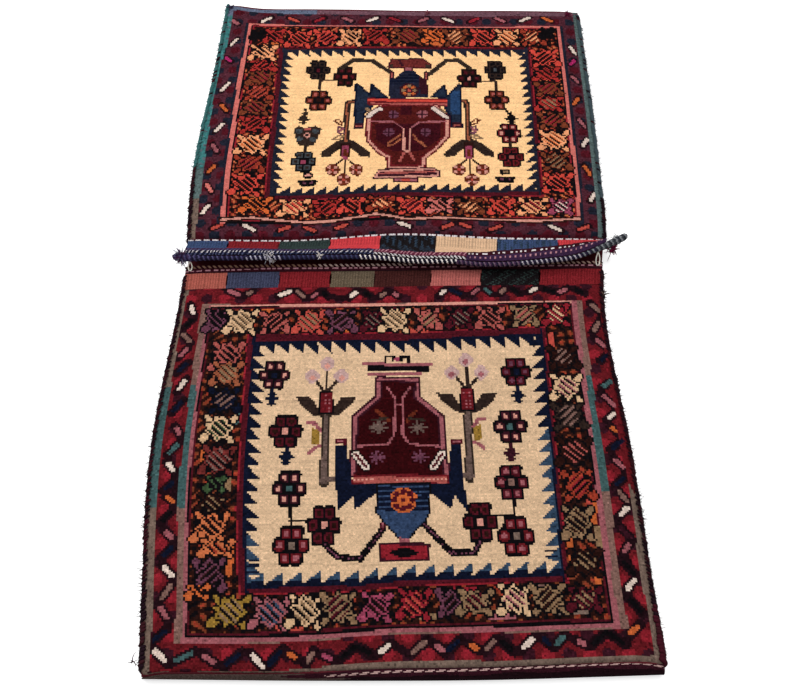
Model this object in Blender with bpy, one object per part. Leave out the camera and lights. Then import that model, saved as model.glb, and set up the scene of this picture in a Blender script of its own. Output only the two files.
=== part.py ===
"""Kilim saddle bag lying flat: two pouches folded out of one long woven strip.

The strip starts at the lower mouth as a flat-woven hem and closure band, thickens into a knotted
pile face, turns under at the front fold, runs back along the ground as a thin plain weave, turns
up at the rear fold, and comes forward as the second pile face to the upper mouth, whose hem is
rolled up into a ridge. Goat hair laces the sides of each pouch, a wound cord finishes each mouth,
and a white yarn ties the mouths together near each side. Metres, +Z up, the origin on the ground
under the middle of the bag.
"""

import math

import bmesh
import bpy
import numpy as np
from mathutils import Matrix, Vector
from mathutils.geometry import interpolate_bezier

# The strip in plan
BAG_WIDTH = 0.600
BAG_LENGTH = 1.157
FRONT_FOLD_Y = -0.5850
LOWER_FACE_LENGTH = 0.564
UPPER_FACE_LENGTH = 0.500
LOWER_BAND = 0.0260
LOWER_HEM = 0.0090
MOUTH_SKEW = 0.016

# Thickness of the cloth and loft of the empty pouches
PILE = 0.0080
EDGE_PILE = 0.0050
FLATWEAVE = 0.0035
BACK_WEAVE = 0.0030
POUCH_LOFT = 0.0120
SIDE_LOFT = 0.0060
CROWN_REACH = 0.040
PILE_STEP = 0.0025
RIPPLE = 0.0008
CORNER_CURL = 0.0050
CORNER_REACH = 0.070

# Slits of the closure bands
SLIT_WIDTH = 0.0014
SLIT_LENGTH = 0.0180
SLIT_DEPTH = 0.0060

# Rolled hem of the upper mouth
RIDGE_RISE = 0.0205
RIDGE_ROLL = 0.0140
HEM_DROP = math.radians(35)
BAND_SHARE = 0.61

# Lacing, cords and ties
CLEARANCE = 0.0005
GROUND_GAP = 0.0002
LACING_YARN = 0.0020
LACING_REACH = 0.0070
LACING_PITCH = 0.0140
LACING_SLANT = 0.0060
LACING_CORNER = 0.80
UPPER_CORD = 0.0078
LOWER_CORD = 0.0052
CORD_PITCH = 0.0110
GROOVE = 0.80
EAR_REACH = 0.0265
TIE_YARN = 0.0034
TIE_INSET = 0.0080

# The side edges come up off the ground by the yarn that passes under them
SIDE_LIFT = (LACING_YARN + CLEARANCE + GROUND_GAP) / (1 - LACING_REACH / CROWN_REACH) ** 2

# Wander of each outline from its straight line, as (place along it, amount)
LEFT_WANDER = (
    (-0.585, 0.0010),
    (-0.300, 0.0232),
    (0.000, 0.0100),
    (0.200, 0.0165),
    (0.420, 0.0035),
    (0.585, -0.0045),
)
RIGHT_WANDER = (
    (-0.585, 0.0045),
    (-0.300, -0.0020),
    (-0.020, -0.0120),
    (0.080, 0.0020),
    (0.200, 0.0055),
    (0.585, 0.0060),
)
FRONT_WANDER = ((-0.300, 0.0020), (-0.050, 0.0), (0.100, 0.0010), (0.300, 0.0070))
REAR_WANDER = (
    (-0.300, 0.0140),
    (-0.260, 0.0065),
    (-0.150, 0.0030),
    (0.000, -0.0010),
    (0.300, -0.0035),
)
UPPER_MOUTH_WANDER = (
    (-0.300, -0.0100),
    (-0.160, -0.0120),
    (0.000, 0.0),
    (0.150, -0.0070),
    (0.300, -0.0100),
)
RIDGE_FALL = (
    (-0.3265, -0.0480),
    (-0.300, -0.0535),
    (-0.245, -0.0582),
    (-0.200, -0.0583),
    (-0.120, -0.0555),
    (-0.037, -0.0555),
    (0.028, -0.0622),
    (0.072, -0.0620),
    (0.116, -0.0675),
    (0.149, -0.0668),
    (0.215, -0.0599),
    (0.248, -0.0550),
    (0.292, -0.0370),
    (0.3265, -0.0200),
)
RIDGE_HEIGHT = (
    (-0.3265, -0.0080),
    (-0.280, -0.0010),
    (-0.100, 0.0),
    (0.100, -0.0010),
    (0.280, 0.0010),
    (0.3265, 0.0050),
)

# Slits as shares of the width, and borders in from each side, mouth and fold
LOWER_SLITS = (0.102, 0.228, 0.350, 0.455, 0.590, 0.710, 0.850)
UPPER_SLITS = (0.098, 0.220, 0.342, 0.462, 0.595, 0.742, 0.888)
LEFT_BORDERS = (0.010, 0.041, 0.059, 0.121)
RIGHT_BORDERS = (0.009, 0.038, 0.055, 0.105)
LOWER_MOUTH_BORDERS = (0.027, 0.045, 0.098)
UPPER_MOUTH_BORDERS = (0.026, 0.034, 0.082)
LOWER_FOLD_BORDERS = (0.103, 0.048, 0.026)
UPPER_FOLD_BORDERS = (0.097, 0.042, 0.034)
FIELD_PARTS = 5
FOLD_STEPS = 7

# Zones of a face, from the outside in; a cell takes the outermost of its row's and its column's
FRAMES = ("guard", "zigzag", "pink_guard", "bird_border", "field")
FACE_ROWS = (1, 2, 3) + (4,) * FIELD_PARTS + (3, 2, 1)
FACE_COLUMNS = (0, 1, 2, 3) + (4,) * FIELD_PARTS + (3, 2, 1, 0)
LOWER_BAND_WOOLS = ("coral", "slate", "red", "khaki", "brown", "pink", "black_green", "red")
UPPER_BAND_WOOLS = ("slate", "red", "green", "coral", "black_green", "cream", "slate", "coral")

WOOLS = {
    "guard": (0.160, 0.170, 0.150),
    "zigzag": (0.170, 0.012, 0.016),
    "pink_guard": (0.420, 0.160, 0.130),
    "bird_border": (0.075, 0.022, 0.016),
    "lower_field": (0.600, 0.430, 0.270),
    "upper_field": (0.800, 0.550, 0.300),
    "plain_maroon": (0.100, 0.010, 0.014),
    "slate": (0.060, 0.085, 0.130),
    "coral": (0.460, 0.100, 0.075),
    "red": (0.170, 0.012, 0.016),
    "khaki": (0.130, 0.120, 0.085),
    "brown": (0.070, 0.020, 0.018),
    "pink": (0.420, 0.160, 0.130),
    "green": (0.035, 0.080, 0.060),
    "black_green": (0.014, 0.018, 0.016),
    "cream": (0.550, 0.420, 0.300),
}


def yarn_material(name, colour, roughness=0.92):
    """Spun and dyed wool or hair: dull all over."""
    material = bpy.data.materials.new(name)
    material.use_nodes = True
    principled = material.node_tree.nodes["Principled BSDF"]
    principled.inputs["Base Color"].default_value = (*colour, 1)
    principled.inputs["Roughness"].default_value = roughness
    principled.inputs["Metallic"].default_value = 0
    material.diffuse_color = (*colour, 1)
    return material


def drawn(points, at):
    """Height at one place of the smooth curve drawn through a few (place, height) points."""
    places, heights = np.array(points).T
    slopes = np.gradient(heights, places)
    k = int(np.clip(np.searchsorted(places, at) - 1, 0, len(places) - 2))
    span = places[k + 1] - places[k]
    t = min(max((at - places[k]) / span, 0), 1)
    leaving = heights[k] * (1 + 2 * t) * (1 - t) ** 2 + slopes[k] * span * t * (1 - t) ** 2
    arriving = heights[k + 1] * t * t * (3 - 2 * t) + slopes[k + 1] * span * t * t * (t - 1)
    return float(leaving + arriving)


def left_edge(y):
    return -BAG_WIDTH / 2 - drawn(LEFT_WANDER, y)


def right_edge(y):
    return BAG_WIDTH / 2 + drawn(RIGHT_WANDER, y)


def front_fold(x):
    return FRONT_FOLD_Y + drawn(FRONT_WANDER, x)


def rear_fold(x):
    return FRONT_FOLD_Y + BAG_LENGTH + drawn(REAR_WANDER, x)


def lower_pile_end(x):
    return FRONT_FOLD_Y + LOWER_FACE_LENGTH + MOUTH_SKEW * x


def lower_mouth(x):
    return lower_pile_end(x) + LOWER_BAND + LOWER_HEM


def upper_pile_line(wander, x):
    """A line that wanders about the straight end of the upper pile, or lies off to one side of it."""
    return FRONT_FOLD_Y + BAG_LENGTH - UPPER_FACE_LENGTH + drawn(wander, x)


def upper_pile_end(x):
    return upper_pile_line(UPPER_MOUTH_WANDER, x)


def shifted(line, by):
    """The same line across the bag, moved along the bag."""
    return lambda x: line(x) + by


def between(first, second, share):
    """A line across the bag, part of the way from one line to another."""
    return lambda x: first(x) + (second(x) - first(x)) * share


def slack(x, y):
    """1 at a side edge, where the lacing draws the layers together, and 0 at full loft."""
    inside = min(x - left_edge(y), right_edge(y) - x)
    return (1 - min(max(inside / CROWN_REACH, 0), 1)) ** 2


def curl(x, y):
    """Lift of the far left corner, which stands a little way up."""
    away = math.hypot(x - left_edge(y), y - rear_fold(x))
    return CORNER_CURL * max(1 - away / CORNER_REACH, 0) ** 2


def ground_side(x, y):
    """Height of the underside of the strip where it lies on the ground."""
    return SIDE_LIFT * slack(x, y) + curl(x, y)


def lining(x, y):
    """Height of the inside of a face, over the empty pouch."""
    loft = POUCH_LOFT + (SIDE_LOFT - POUCH_LOFT) * slack(x, y)
    ripple = RIPPLE * math.sin(23 * y + 9 * x) * math.cos(17 * x - 6 * y) * (1 - slack(x, y))
    return ground_side(x, y) + BACK_WEAVE + loft + ripple


def pile(x, y):
    return PILE + (EDGE_PILE - PILE) * slack(x, y)


def ridge_cord(x):
    """Centre of the cord that finishes the rolled hem."""
    top = BACK_WEAVE + POUCH_LOFT + FLATWEAVE + RIDGE_RISE + drawn(RIDGE_HEIGHT, x)
    return Vector((x, upper_pile_line(RIDGE_FALL, x), top - UPPER_CORD / 2))


def on_face(line):
    """A row of knots on a face: its place, height and thickness."""
    return lambda x: (line(x), lining(x, line(x)) + pile(x, line(x)), pile(x, line(x)))


def on_band(line):
    return lambda x: (line(x), lining(x, line(x)) + FLATWEAVE, FLATWEAVE)


def on_ground(line):
    return lambda x: (line(x), ground_side(x, line(x)), BACK_WEAVE)


def turn_start(fold, outward):
    """The line where a face starts to turn down into its fold."""
    return shifted(fold, -outward * (PILE + POUCH_LOFT + BACK_WEAVE) / 2)


def on_fold(fold, outward, share):
    """A row on the half-round of a fold, from its face at 0 to the ground side at 1."""

    def place(x):
        start = turn_start(fold, outward)(x)
        bottom = ground_side(x, start)
        radius = (lining(x, start) + pile(x, start) - bottom) / 2
        angle = math.pi * share
        y = fold(x) - outward * radius * (1 - math.sin(angle))
        thin = 1 - (1 - share) ** 2
        return y, bottom + radius * (1 + math.cos(angle)), pile(x, start) + (BACK_WEAVE - pile(x, start)) * thin

    return place


def on_roll(share):
    """A row on the rolled hem, from the foot of the upper pile at 0 to the cord at 1."""

    def place(x):
        foot = upper_pile_end(x) - PILE_STEP
        first = Vector((foot, lining(x, foot) + FLATWEAVE))
        back = Vector((math.cos(HEM_DROP), math.sin(HEM_DROP)))
        out = Vector((-math.sin(HEM_DROP), math.cos(HEM_DROP)))
        cord = ridge_cord(x).yz
        last = cord + back * (UPPER_CORD / 2 + CLEARANCE) + out * FLATWEAVE / 2
        lead = Vector(((first.x - last.x) * 0.42, 0))
        curve = interpolate_bezier(first, first - lead, last + back * RIDGE_ROLL, last, 201)
        return *curve[round(share * 200)], FLATWEAVE

    return place


def face_lines(mouth, turn, outward, mouth_borders, fold_borders):
    """Lines across a face, from its mouth to its fold: one at each border, some in the field."""
    near = [shifted(mouth, outward * by) for by in (0, *mouth_borders)]
    far = [shifted(turn, -outward * by) for by in fold_borders]
    field = [between(near[-1], far[0], n / FIELD_PARTS) for n in range(1, FIELD_PARTS)]
    return near + field + far


LOWER_LINES = face_lines(
    shifted(lower_pile_end, -PILE_STEP),
    turn_start(front_fold, -1),
    -1,
    LOWER_MOUTH_BORDERS,
    LOWER_FOLD_BORDERS,
)
UPPER_LINES = face_lines(
    upper_pile_end, turn_start(rear_fold, 1), 1, UPPER_MOUTH_BORDERS, UPPER_FOLD_BORDERS
)


def lower_side_rows():
    """The lower pouch's rows that lie on top, from the mouth to the turn, with the zone after each."""
    band_end = shifted(lower_mouth, -LOWER_HEM)
    rows = [(on_band(lower_mouth), "hem"), (on_band(shifted(lower_mouth, -LOWER_HEM / 2)), "hem")]
    rows += [(on_band(between(band_end, lower_pile_end, n / 3)), "lower_band") for n in range(3)]
    rows += [(on_band(lower_pile_end), "hem")]
    rows += [(on_face(line), zone) for line, zone in zip(LOWER_LINES, FACE_ROWS)]
    return rows


def upper_side_rows():
    """The upper pouch's rows that lie on top, from the turn to the cord."""
    rows = [(on_face(line), zone) for line, zone in zip(UPPER_LINES[::-1], (*FACE_ROWS[1:], "hem"))]
    rows += [(on_roll(BAND_SHARE * n / 4), "upper_band") for n in range(4)]
    rows += [(on_roll(BAND_SHARE + (1 - BAND_SHARE) * n / 5), "hem") for n in range(6)]
    return rows


def ground_rows():
    """The rows of plain weave on the ground, between the two folds."""
    middle = [between(lower_mouth, upper_pile_end, 0.5)]
    return [(on_ground(line), "back") for line in LOWER_LINES[::-1] + middle + UPPER_LINES]


def fold_rows(fold, outward, shares):
    return [(on_fold(fold, outward, share), 1 if share < 0.4 else "back") for share in shares]


def columns(y, zone):
    """Places across the strip: the border lines, or in a closure band the slits."""
    left, right = left_edge(y), right_edge(y)
    outer = [left + by for by in (0, *LEFT_BORDERS)], [right - by for by in (0, *RIGHT_BORDERS)]
    slits = {"lower_band": LOWER_SLITS, "upper_band": UPPER_SLITS}.get(zone)
    if slits:
        return outer[0][:3] + [left + (right - left) * share for share in slits] + outer[1][3::-1]
    step = (outer[1][-1] - outer[0][-1]) / FIELD_PARTS
    return outer[0] + [outer[0][-1] + step * n for n in range(1, FIELD_PARTS)] + outer[1][::-1]


def band_wool(wools, column):
    """The wool of a closure band between two slits, for one column of the strip."""
    return wools[min(max(column - 2, 0), len(wools) - 1)]


def zone_wool(zone, column, lower):
    """The wool that shows in one cell of the strip."""
    if zone == "lower_band":
        return band_wool(LOWER_BAND_WOOLS, column)
    if zone == "upper_band":
        return band_wool(UPPER_BAND_WOOLS, column)
    if zone in ("hem", "back"):
        return "plain_maroon"
    frame = FRAMES[min(zone, FACE_COLUMNS[column])]
    return ("lower_" if lower else "upper_") + frame if frame == "field" else frame


def woven_strip():
    """The strip as one sheet of cells, given its thickness inward from the outside, then slit."""
    lower_rows, upper_rows = lower_side_rows(), upper_side_rows()
    down = [n / FOLD_STEPS for n in range(FOLD_STEPS + 1)]
    front_rows = fold_rows(front_fold, -1, down)
    rear_rows = fold_rows(rear_fold, 1, down[::-1])
    rows = lower_rows + front_rows + ground_rows() + rear_rows + upper_rows
    lower_count = len(lower_rows) + len(front_rows)

    mesh = bpy.data.meshes.new("woven_strip")
    strip = bpy.data.objects.new("woven_strip", mesh)
    bpy.context.collection.objects.link(strip)
    wools = list(WOOLS)
    for name in wools:
        mesh.materials.append(yarn_material(name + "_wool", WOOLS[name]))

    sheet = bmesh.new()
    thickness = sheet.verts.layers.deform.verify()
    grid, edges = [], []
    for rule, zone in rows:
        across = columns(rule(0)[0], zone)
        line = []
        for x in across:
            y, z, thick = rule(x)
            vert = sheet.verts.new((x, y, z))
            vert[thickness][0] = thick / PILE
            line.append(vert)
        grid.append(line)
    for k, (first, second) in enumerate(zip(grid, grid[1:])):
        for column in range(len(first) - 1):
            cell = (first[column], first[column + 1], second[column + 1], second[column])
            face = sheet.faces.new(cell[::-1])
            face.material_index = wools.index(zone_wool(rows[k][1], column, k < lower_count))
            face.smooth = True
    for line in grid:
        edges.append([vert.co.copy() for vert in line])
    sheet.to_mesh(mesh)
    sheet.free()

    strip.vertex_groups.new(name="thickness")
    wall = strip.modifiers.new("cloth_thickness", "SOLIDIFY")
    wall.thickness = PILE
    wall.offset = -1
    wall.vertex_group = "thickness"
    slit = strip.modifiers.new("closure_slits", "BOOLEAN")
    slit.operation = "DIFFERENCE"
    slit.solver = "EXACT"
    slit.object = slit_cutters()
    tops = edges[: len(lower_rows) + 1], edges[-len(upper_rows) - 1 : -10]
    start = len(lower_rows) + len(front_rows) - 1
    ground = edges[start : start + len(ground_rows()) + 2]
    return tops, ground


def slit_cutters():
    """Thin blades that open the slits of both closure bands without reaching the layer below."""
    blades = bmesh.new()
    lower_middle = shifted(lower_mouth, -LOWER_HEM - LOWER_BAND / 2)
    for rule, shares, zone in (
        (on_band(lower_middle), LOWER_SLITS, "lower_band"),
        (on_roll(BAND_SHARE / 2), UPPER_SLITS, "upper_band"),
    ):
        for x in columns(rule(0)[0], zone)[3 : 3 + len(shares)]:
            y, z, thick = rule(x)
            size = Matrix.Diagonal((SLIT_WIDTH, SLIT_LENGTH, thick + 2 * SLIT_DEPTH, 1))
            place = Matrix.Translation((x, y, z - thick / 2))
            bmesh.ops.create_cube(blades, size=1, matrix=place @ size)
    mesh = bpy.data.meshes.new("slit_cutters")
    blades.to_mesh(mesh)
    blades.free()
    cutters = bpy.data.objects.new("slit_cutters", mesh)
    cutters.hide_render = True
    cutters.display_type = "WIRE"
    bpy.context.collection.objects.link(cutters)
    return cutters


def side_lines(rows, side, upward):
    """A side edge, and the line the lacing reaches in to, as places by y clear of nearby steps."""
    edge, inner = (0, 1) if side < 0 else (-1, -2)
    borders = LEFT_BORDERS if side < 0 else RIGHT_BORDERS
    rows = sorted(rows, key=lambda row: row[edge].y)
    share = LACING_REACH / borders[0]

    def line(places):
        x, along, z = np.array(places).T

        def at(y):
            near = np.linspace(y - LACING_PITCH / 2, y + LACING_PITCH / 2, 9)
            heights = np.interp(near, along, z)
            return Vector((np.interp(y, along, x), y, heights.max() if upward else heights.min()))

        return at

    return line([row[edge] for row in rows]), line([row[edge].lerp(row[inner], share) for row in rows])


def side_lacing(name, side, top_rows, ground, start, end, material):
    """Goat hair oversewn round both edges of a pouch: a slanting ridge for every stitch."""
    top_edge, top_reach = side_lines(top_rows, side, True)
    low_edge, low_reach = side_lines(ground, side, False)
    out, up = Vector((side, 0, 0)), Vector((0, 0, 1))
    count = round((end - start - LACING_SLANT) / LACING_PITCH)
    step = (end - start - LACING_SLANT) / count
    lacing = bmesh.new()
    rings = []
    for n in range(2 * count + 1):
        low = start + step * n / 2
        high = low + LACING_SLANT
        yarn = LACING_YARN * (1 if n % 2 else 1 - GROOVE / 2)
        inner = (
            top_reach(high) + up * CLEARANCE,
            top_edge(high) + (up + out) * CLEARANCE,
            low_edge(low) + (out - up) * CLEARANCE,
            low_reach(low) - up * CLEARANCE,
        )
        outer = (
            inner[3] - up * yarn,
            inner[2] + (out - up * LACING_CORNER) * yarn,
            inner[1] + (out + up * LACING_CORNER) * yarn,
            inner[0] + up * yarn,
        )
        rings.append([lacing.verts.new(place) for place in inner + outer])
    for first, second in zip(rings, rings[1:]):
        for k in range(len(first)):
            lacing.faces.new((first[k - 1], first[k], second[k], second[k - 1]))
    lacing.faces.new(rings[0])
    lacing.faces.new(rings[-1][::-1])
    bmesh.ops.recalc_face_normals(lacing, faces=lacing.faces)
    mesh = bpy.data.meshes.new(name)
    lacing.to_mesh(mesh)
    lacing.free()
    mesh.materials.append(material)
    bpy.context.collection.objects.link(bpy.data.objects.new(name, mesh))


def wound_cord(name, route, thickness, material, sides=1):
    """A cord along a route of (place, share of the full thickness)."""
    curve = bpy.data.curves.new(name, "CURVE")
    curve.dimensions = "3D"
    curve.bevel_depth = thickness / 2
    curve.bevel_resolution = sides
    curve.use_fill_caps = True
    spline = curve.splines.new("POLY")
    spline.points.add(len(route) - 1)
    for point, (place, share) in zip(spline.points, route):
        point.co = (*place, 1)
        point.radius = share
    spline.use_smooth = True
    curve.materials.append(material)
    bpy.context.collection.objects.link(bpy.data.objects.new(name, curve))


def wound_route(place, start, end):
    """Places along a cord from start to end, swelling at each turn of its winding."""
    count = 2 * round((end - start) / CORD_PITCH)
    route = [(place(start + (end - start) * n / count), 1 if n % 2 else GROOVE) for n in range(count + 1)]
    route[0] = (route[0][0], GROOVE / 2)
    route[-1] = (route[-1][0], GROOVE / 2)
    return route


def lower_cord(x):
    """Centre of the cord that finishes the lower mouth."""
    y = lower_mouth(x)
    return Vector((x, y + CLEARANCE + LOWER_CORD / 2, lining(x, y) + LOWER_CORD / 2))


def upper_cord_route():
    """The cord keeps to its hem, which runs straight from each column of the strip to the next."""
    tip = BAG_WIDTH / 2 + EAR_REACH
    stops = [-tip, *columns(on_roll(1)(0)[0], "hem"), tip]
    _, along, heights = np.array([ridge_cord(x) for x in stops]).T

    def place(x):
        return Vector((x, np.interp(x, stops, along), np.interp(x, stops, heights)))

    return wound_route(place, -tip, tip)


def mouth_tie(name, x, material):
    """A doubled white yarn from the lower hem up to the cord of the rolled hem."""
    on_hem = lower_mouth(x) - LOWER_HEM / 2
    rise = CLEARANCE + TIE_YARN / 2
    first = Vector((x, on_hem, lining(x, on_hem) + FLATWEAVE + rise))
    under = ridge_cord(x) - Vector((0, 0, UPPER_CORD / 2 + rise))
    lead = Vector((0, (under.y - first.y) / 2, 0))
    places = interpolate_bezier(first, first + lead, under - lead, under, 7)
    wound_cord(name, [(place, 1) for place in places], TIE_YARN, material, sides=2)


def build():
    for old in list(bpy.data.objects):
        bpy.data.objects.remove(old, do_unlink=True)
    (lower_top, upper_top), ground = woven_strip()

    hair = yarn_material("goat_hair", (0.022, 0.010, 0.012))
    front, rear = turn_start(front_fold, -1), turn_start(rear_fold, 1)
    for side, word, edge in ((-1, "left", left_edge), (1, "right", right_edge)):
        x = edge(0)
        start, end = front(x) + CLEARANCE, lower_mouth(x) - LOWER_HEM
        side_lacing(f"lower_{word}_lacing", side, lower_top, ground, start, end, hair)
        start, end = upper_pile_end(x) + CLEARANCE, rear(x) - CLEARANCE
        side_lacing(f"upper_{word}_lacing", side, upper_top, ground, start, end, hair)

    two_tone = yarn_material("navy_and_white_wound_wool", (0.060, 0.060, 0.090))
    wound_cord("upper_mouth_cord", upper_cord_route(), UPPER_CORD, two_tone)
    low_y = lower_mouth(0)
    maroon = yarn_material("maroon_wound_wool", (0.090, 0.012, 0.018))
    route = wound_route(lower_cord, left_edge(low_y), right_edge(low_y))
    wound_cord("lower_mouth_cord", route, LOWER_CORD, maroon)

    white = yarn_material("white_wool_tie", (0.780, 0.740, 0.680))
    mouth_tie("left_mouth_tie", left_edge(low_y) + TIE_INSET, white)
    mouth_tie("right_mouth_tie", right_edge(low_y) - TIE_INSET, white)


build()
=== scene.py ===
"""Kilim saddle bag lying flat on a pale floor, seen from above its near end.

The bag is one woven strip: a plain ground weave that carries two knotted pile faces, with a slit
closure band at each mouth, a rolled hem on the far mouth, wound cords, goat hair lacing down the
sides and a white yarn near each side that ties the mouths together.
"""

import math

import bmesh
import bpy
import numpy as np
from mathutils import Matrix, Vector


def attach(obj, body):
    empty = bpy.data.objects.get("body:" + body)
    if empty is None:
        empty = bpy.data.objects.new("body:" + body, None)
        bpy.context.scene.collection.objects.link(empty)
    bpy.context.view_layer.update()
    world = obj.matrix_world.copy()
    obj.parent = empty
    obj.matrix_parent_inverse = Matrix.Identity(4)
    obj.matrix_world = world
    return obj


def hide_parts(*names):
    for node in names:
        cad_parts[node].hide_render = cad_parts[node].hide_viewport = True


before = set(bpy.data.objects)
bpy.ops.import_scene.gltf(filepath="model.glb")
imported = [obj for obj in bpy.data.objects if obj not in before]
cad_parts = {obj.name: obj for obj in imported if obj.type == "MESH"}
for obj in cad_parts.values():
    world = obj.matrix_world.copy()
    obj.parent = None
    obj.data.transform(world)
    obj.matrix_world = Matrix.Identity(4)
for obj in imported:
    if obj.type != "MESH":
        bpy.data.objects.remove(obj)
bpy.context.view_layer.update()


# Camera
# A person stands at the near end and looks down the bag, so its far end is a little narrower.
lens = bpy.data.cameras.new("camera")
lens.lens = 52.25
lens.sensor_width = 36
camera = bpy.data.objects.new("camera", lens)
camera.location = (-0.0085, -1.007, 1.319)
camera.rotation_euler = (math.radians(34.06), 0, 0)
bpy.context.collection.objects.link(camera)
bpy.context.scene.camera = camera


# Ground weave
# The plain maroon weave is one strip from mouth to mouth. It carries the knots of both faces,
# turns round both folds and lies on the ground as the back of the bag.
BAG_WIDTH = 0.600
BAG_LENGTH = 1.157
FRONT_FOLD_Y = -0.5850
LOWER_FACE_LENGTH = 0.564
UPPER_FACE_LENGTH = 0.500
MOUTH_SKEW = 0.016
PILE = 0.0080
EDGE_PILE = 0.0050
FLATWEAVE = 0.0035
BACK_WEAVE = 0.0030
POUCH_LOFT = 0.0120
SIDE_LOFT = 0.0060
CROWN_REACH = 0.040
SIDE_LIFT = 0.00397
RIPPLE = 0.0008
CORNER_CURL = 0.0050
CORNER_REACH = 0.070
LEFT_WANDER = (
    (-0.585, 0.0010), (-0.300, 0.0232), (0.000, 0.0100), (0.200, 0.0165), (0.420, 0.0035),
    (0.585, -0.0045),
)
RIGHT_WANDER = (
    (-0.585, 0.0045), (-0.300, -0.0020), (-0.020, -0.0120), (0.080, 0.0020), (0.200, 0.0055),
    (0.585, 0.0060),
)
FRONT_WANDER = ((-0.300, 0.0020), (-0.050, 0.0), (0.100, 0.0010), (0.300, 0.0070))
REAR_WANDER = (
    (-0.300, 0.0140), (-0.260, 0.0065), (-0.150, 0.0030), (0.000, -0.0010), (0.300, -0.0035),
)
UPPER_MOUTH_WANDER = (
    (-0.300, -0.0100), (-0.160, -0.0120), (0.000, 0.0), (0.150, -0.0070), (0.300, -0.0100),
)


def drawn(points, at):
    """Heights at many places of the smooth curve drawn through a few (place, height) points."""
    places, heights = np.array(points).T
    slopes = np.gradient(heights, places)
    k = np.clip(np.searchsorted(places, at) - 1, 0, len(places) - 2)
    span = places[k + 1] - places[k]
    t = np.clip((at - places[k]) / span, 0, 1)
    leaving = heights[k] * (1 + 2 * t) * (1 - t) ** 2 + slopes[k] * span * t * (1 - t) ** 2
    arriving = heights[k + 1] * t * t * (3 - 2 * t) + slopes[k + 1] * span * t * t * (t - 1)
    return leaving + arriving


def left_edge(y):
    return -BAG_WIDTH / 2 - drawn(LEFT_WANDER, y)


def right_edge(y):
    return BAG_WIDTH / 2 + drawn(RIGHT_WANDER, y)


def front_fold(x):
    return FRONT_FOLD_Y + drawn(FRONT_WANDER, x)


def rear_fold(x):
    return FRONT_FOLD_Y + BAG_LENGTH + drawn(REAR_WANDER, x)


def lower_pile_end(x):
    return FRONT_FOLD_Y + LOWER_FACE_LENGTH + MOUTH_SKEW * x


def upper_pile_end(x):
    return FRONT_FOLD_Y + BAG_LENGTH - UPPER_FACE_LENGTH + drawn(UPPER_MOUTH_WANDER, x)


def slack(x, y):
    """1 at a side edge, where the lacing draws the layers together, and 0 at full loft."""
    inside = np.minimum(x - left_edge(y), right_edge(y) - x)
    return (1 - np.clip(inside / CROWN_REACH, 0, 1)) ** 2


def ground_side(x, y):
    """Height of the back of the bag: the lacing lifts the sides off the floor, a corner curls."""
    away = np.hypot(x - left_edge(y), y - rear_fold(x))
    return SIDE_LIFT * slack(x, y) + CORNER_CURL * np.clip(1 - away / CORNER_REACH, 0, 1) ** 2


def lining(x, y):
    """Height of the inside of a face, over the empty pouch."""
    loft = POUCH_LOFT + (SIDE_LOFT - POUCH_LOFT) * slack(x, y)
    ripple = RIPPLE * np.sin(23 * y + 9 * x) * np.cos(17 * x - 6 * y) * (1 - slack(x, y))
    return ground_side(x, y) + BACK_WEAVE + loft + ripple


def turn_of(x, fold, outward):
    """Where the strip starts to turn into a fold, the radius of the turn and the ground below."""
    face_end = fold(x) - outward * (PILE + POUCH_LOFT + BACK_WEAVE) / 2
    bottom = ground_side(x, face_end)
    pile = PILE + (EDGE_PILE - PILE) * slack(x, face_end)
    radius = (lining(x, face_end) + pile - bottom) / 2
    return fold(x) - outward * radius, radius, bottom


def on_strip(x, run, fold, outward, depth=0.0):
    """Places on a face, round its fold and under the bag, at a depth inside the outer side.

    The run is the y of the place until the fold starts to turn, and from there on a length.
    """
    start, radius, bottom = turn_of(x, fold, outward)
    past = np.maximum((run - start) * outward, 0)
    angle = np.minimum(past / radius, math.pi)
    face_y = np.where(past > 0, start, run)
    face_z = lining(x, face_y) + PILE + (EDGE_PILE - PILE) * slack(x, face_y) - depth
    tucked = np.maximum(past - math.pi * radius, 0)
    y = start + outward * ((radius - depth) * np.sin(angle) - tucked)
    z = bottom + radius + (radius - depth) * np.cos(angle)
    z = np.where(past > math.pi * radius, ground_side(x, y) + depth, z)
    return np.where(past > 0, y, face_y), np.where(past > 0, z, face_z)


def linear(hex_colour):
    """Linear light of an sRGB colour."""
    srgb = np.array([int(hex_colour[k : k + 2], 16) for k in (1, 3, 5)]) / 255
    return np.where(srgb <= 0.04045, srgb / 12.92, ((srgb + 0.055) / 1.055) ** 2.4)


def add_node(tree, kind, settings, links=()):
    """Adds a shader node with its settings, by property or socket name, and its input links."""
    node = tree.nodes.new(kind)
    for key, value in settings.items():
        if isinstance(key, str) and hasattr(node, key):
            setattr(node, key, value)
        else:
            node.inputs[key].default_value = value
    for socket, source in dict(links).items():
        tree.links.new(source, node.inputs[socket])
    return node


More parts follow.
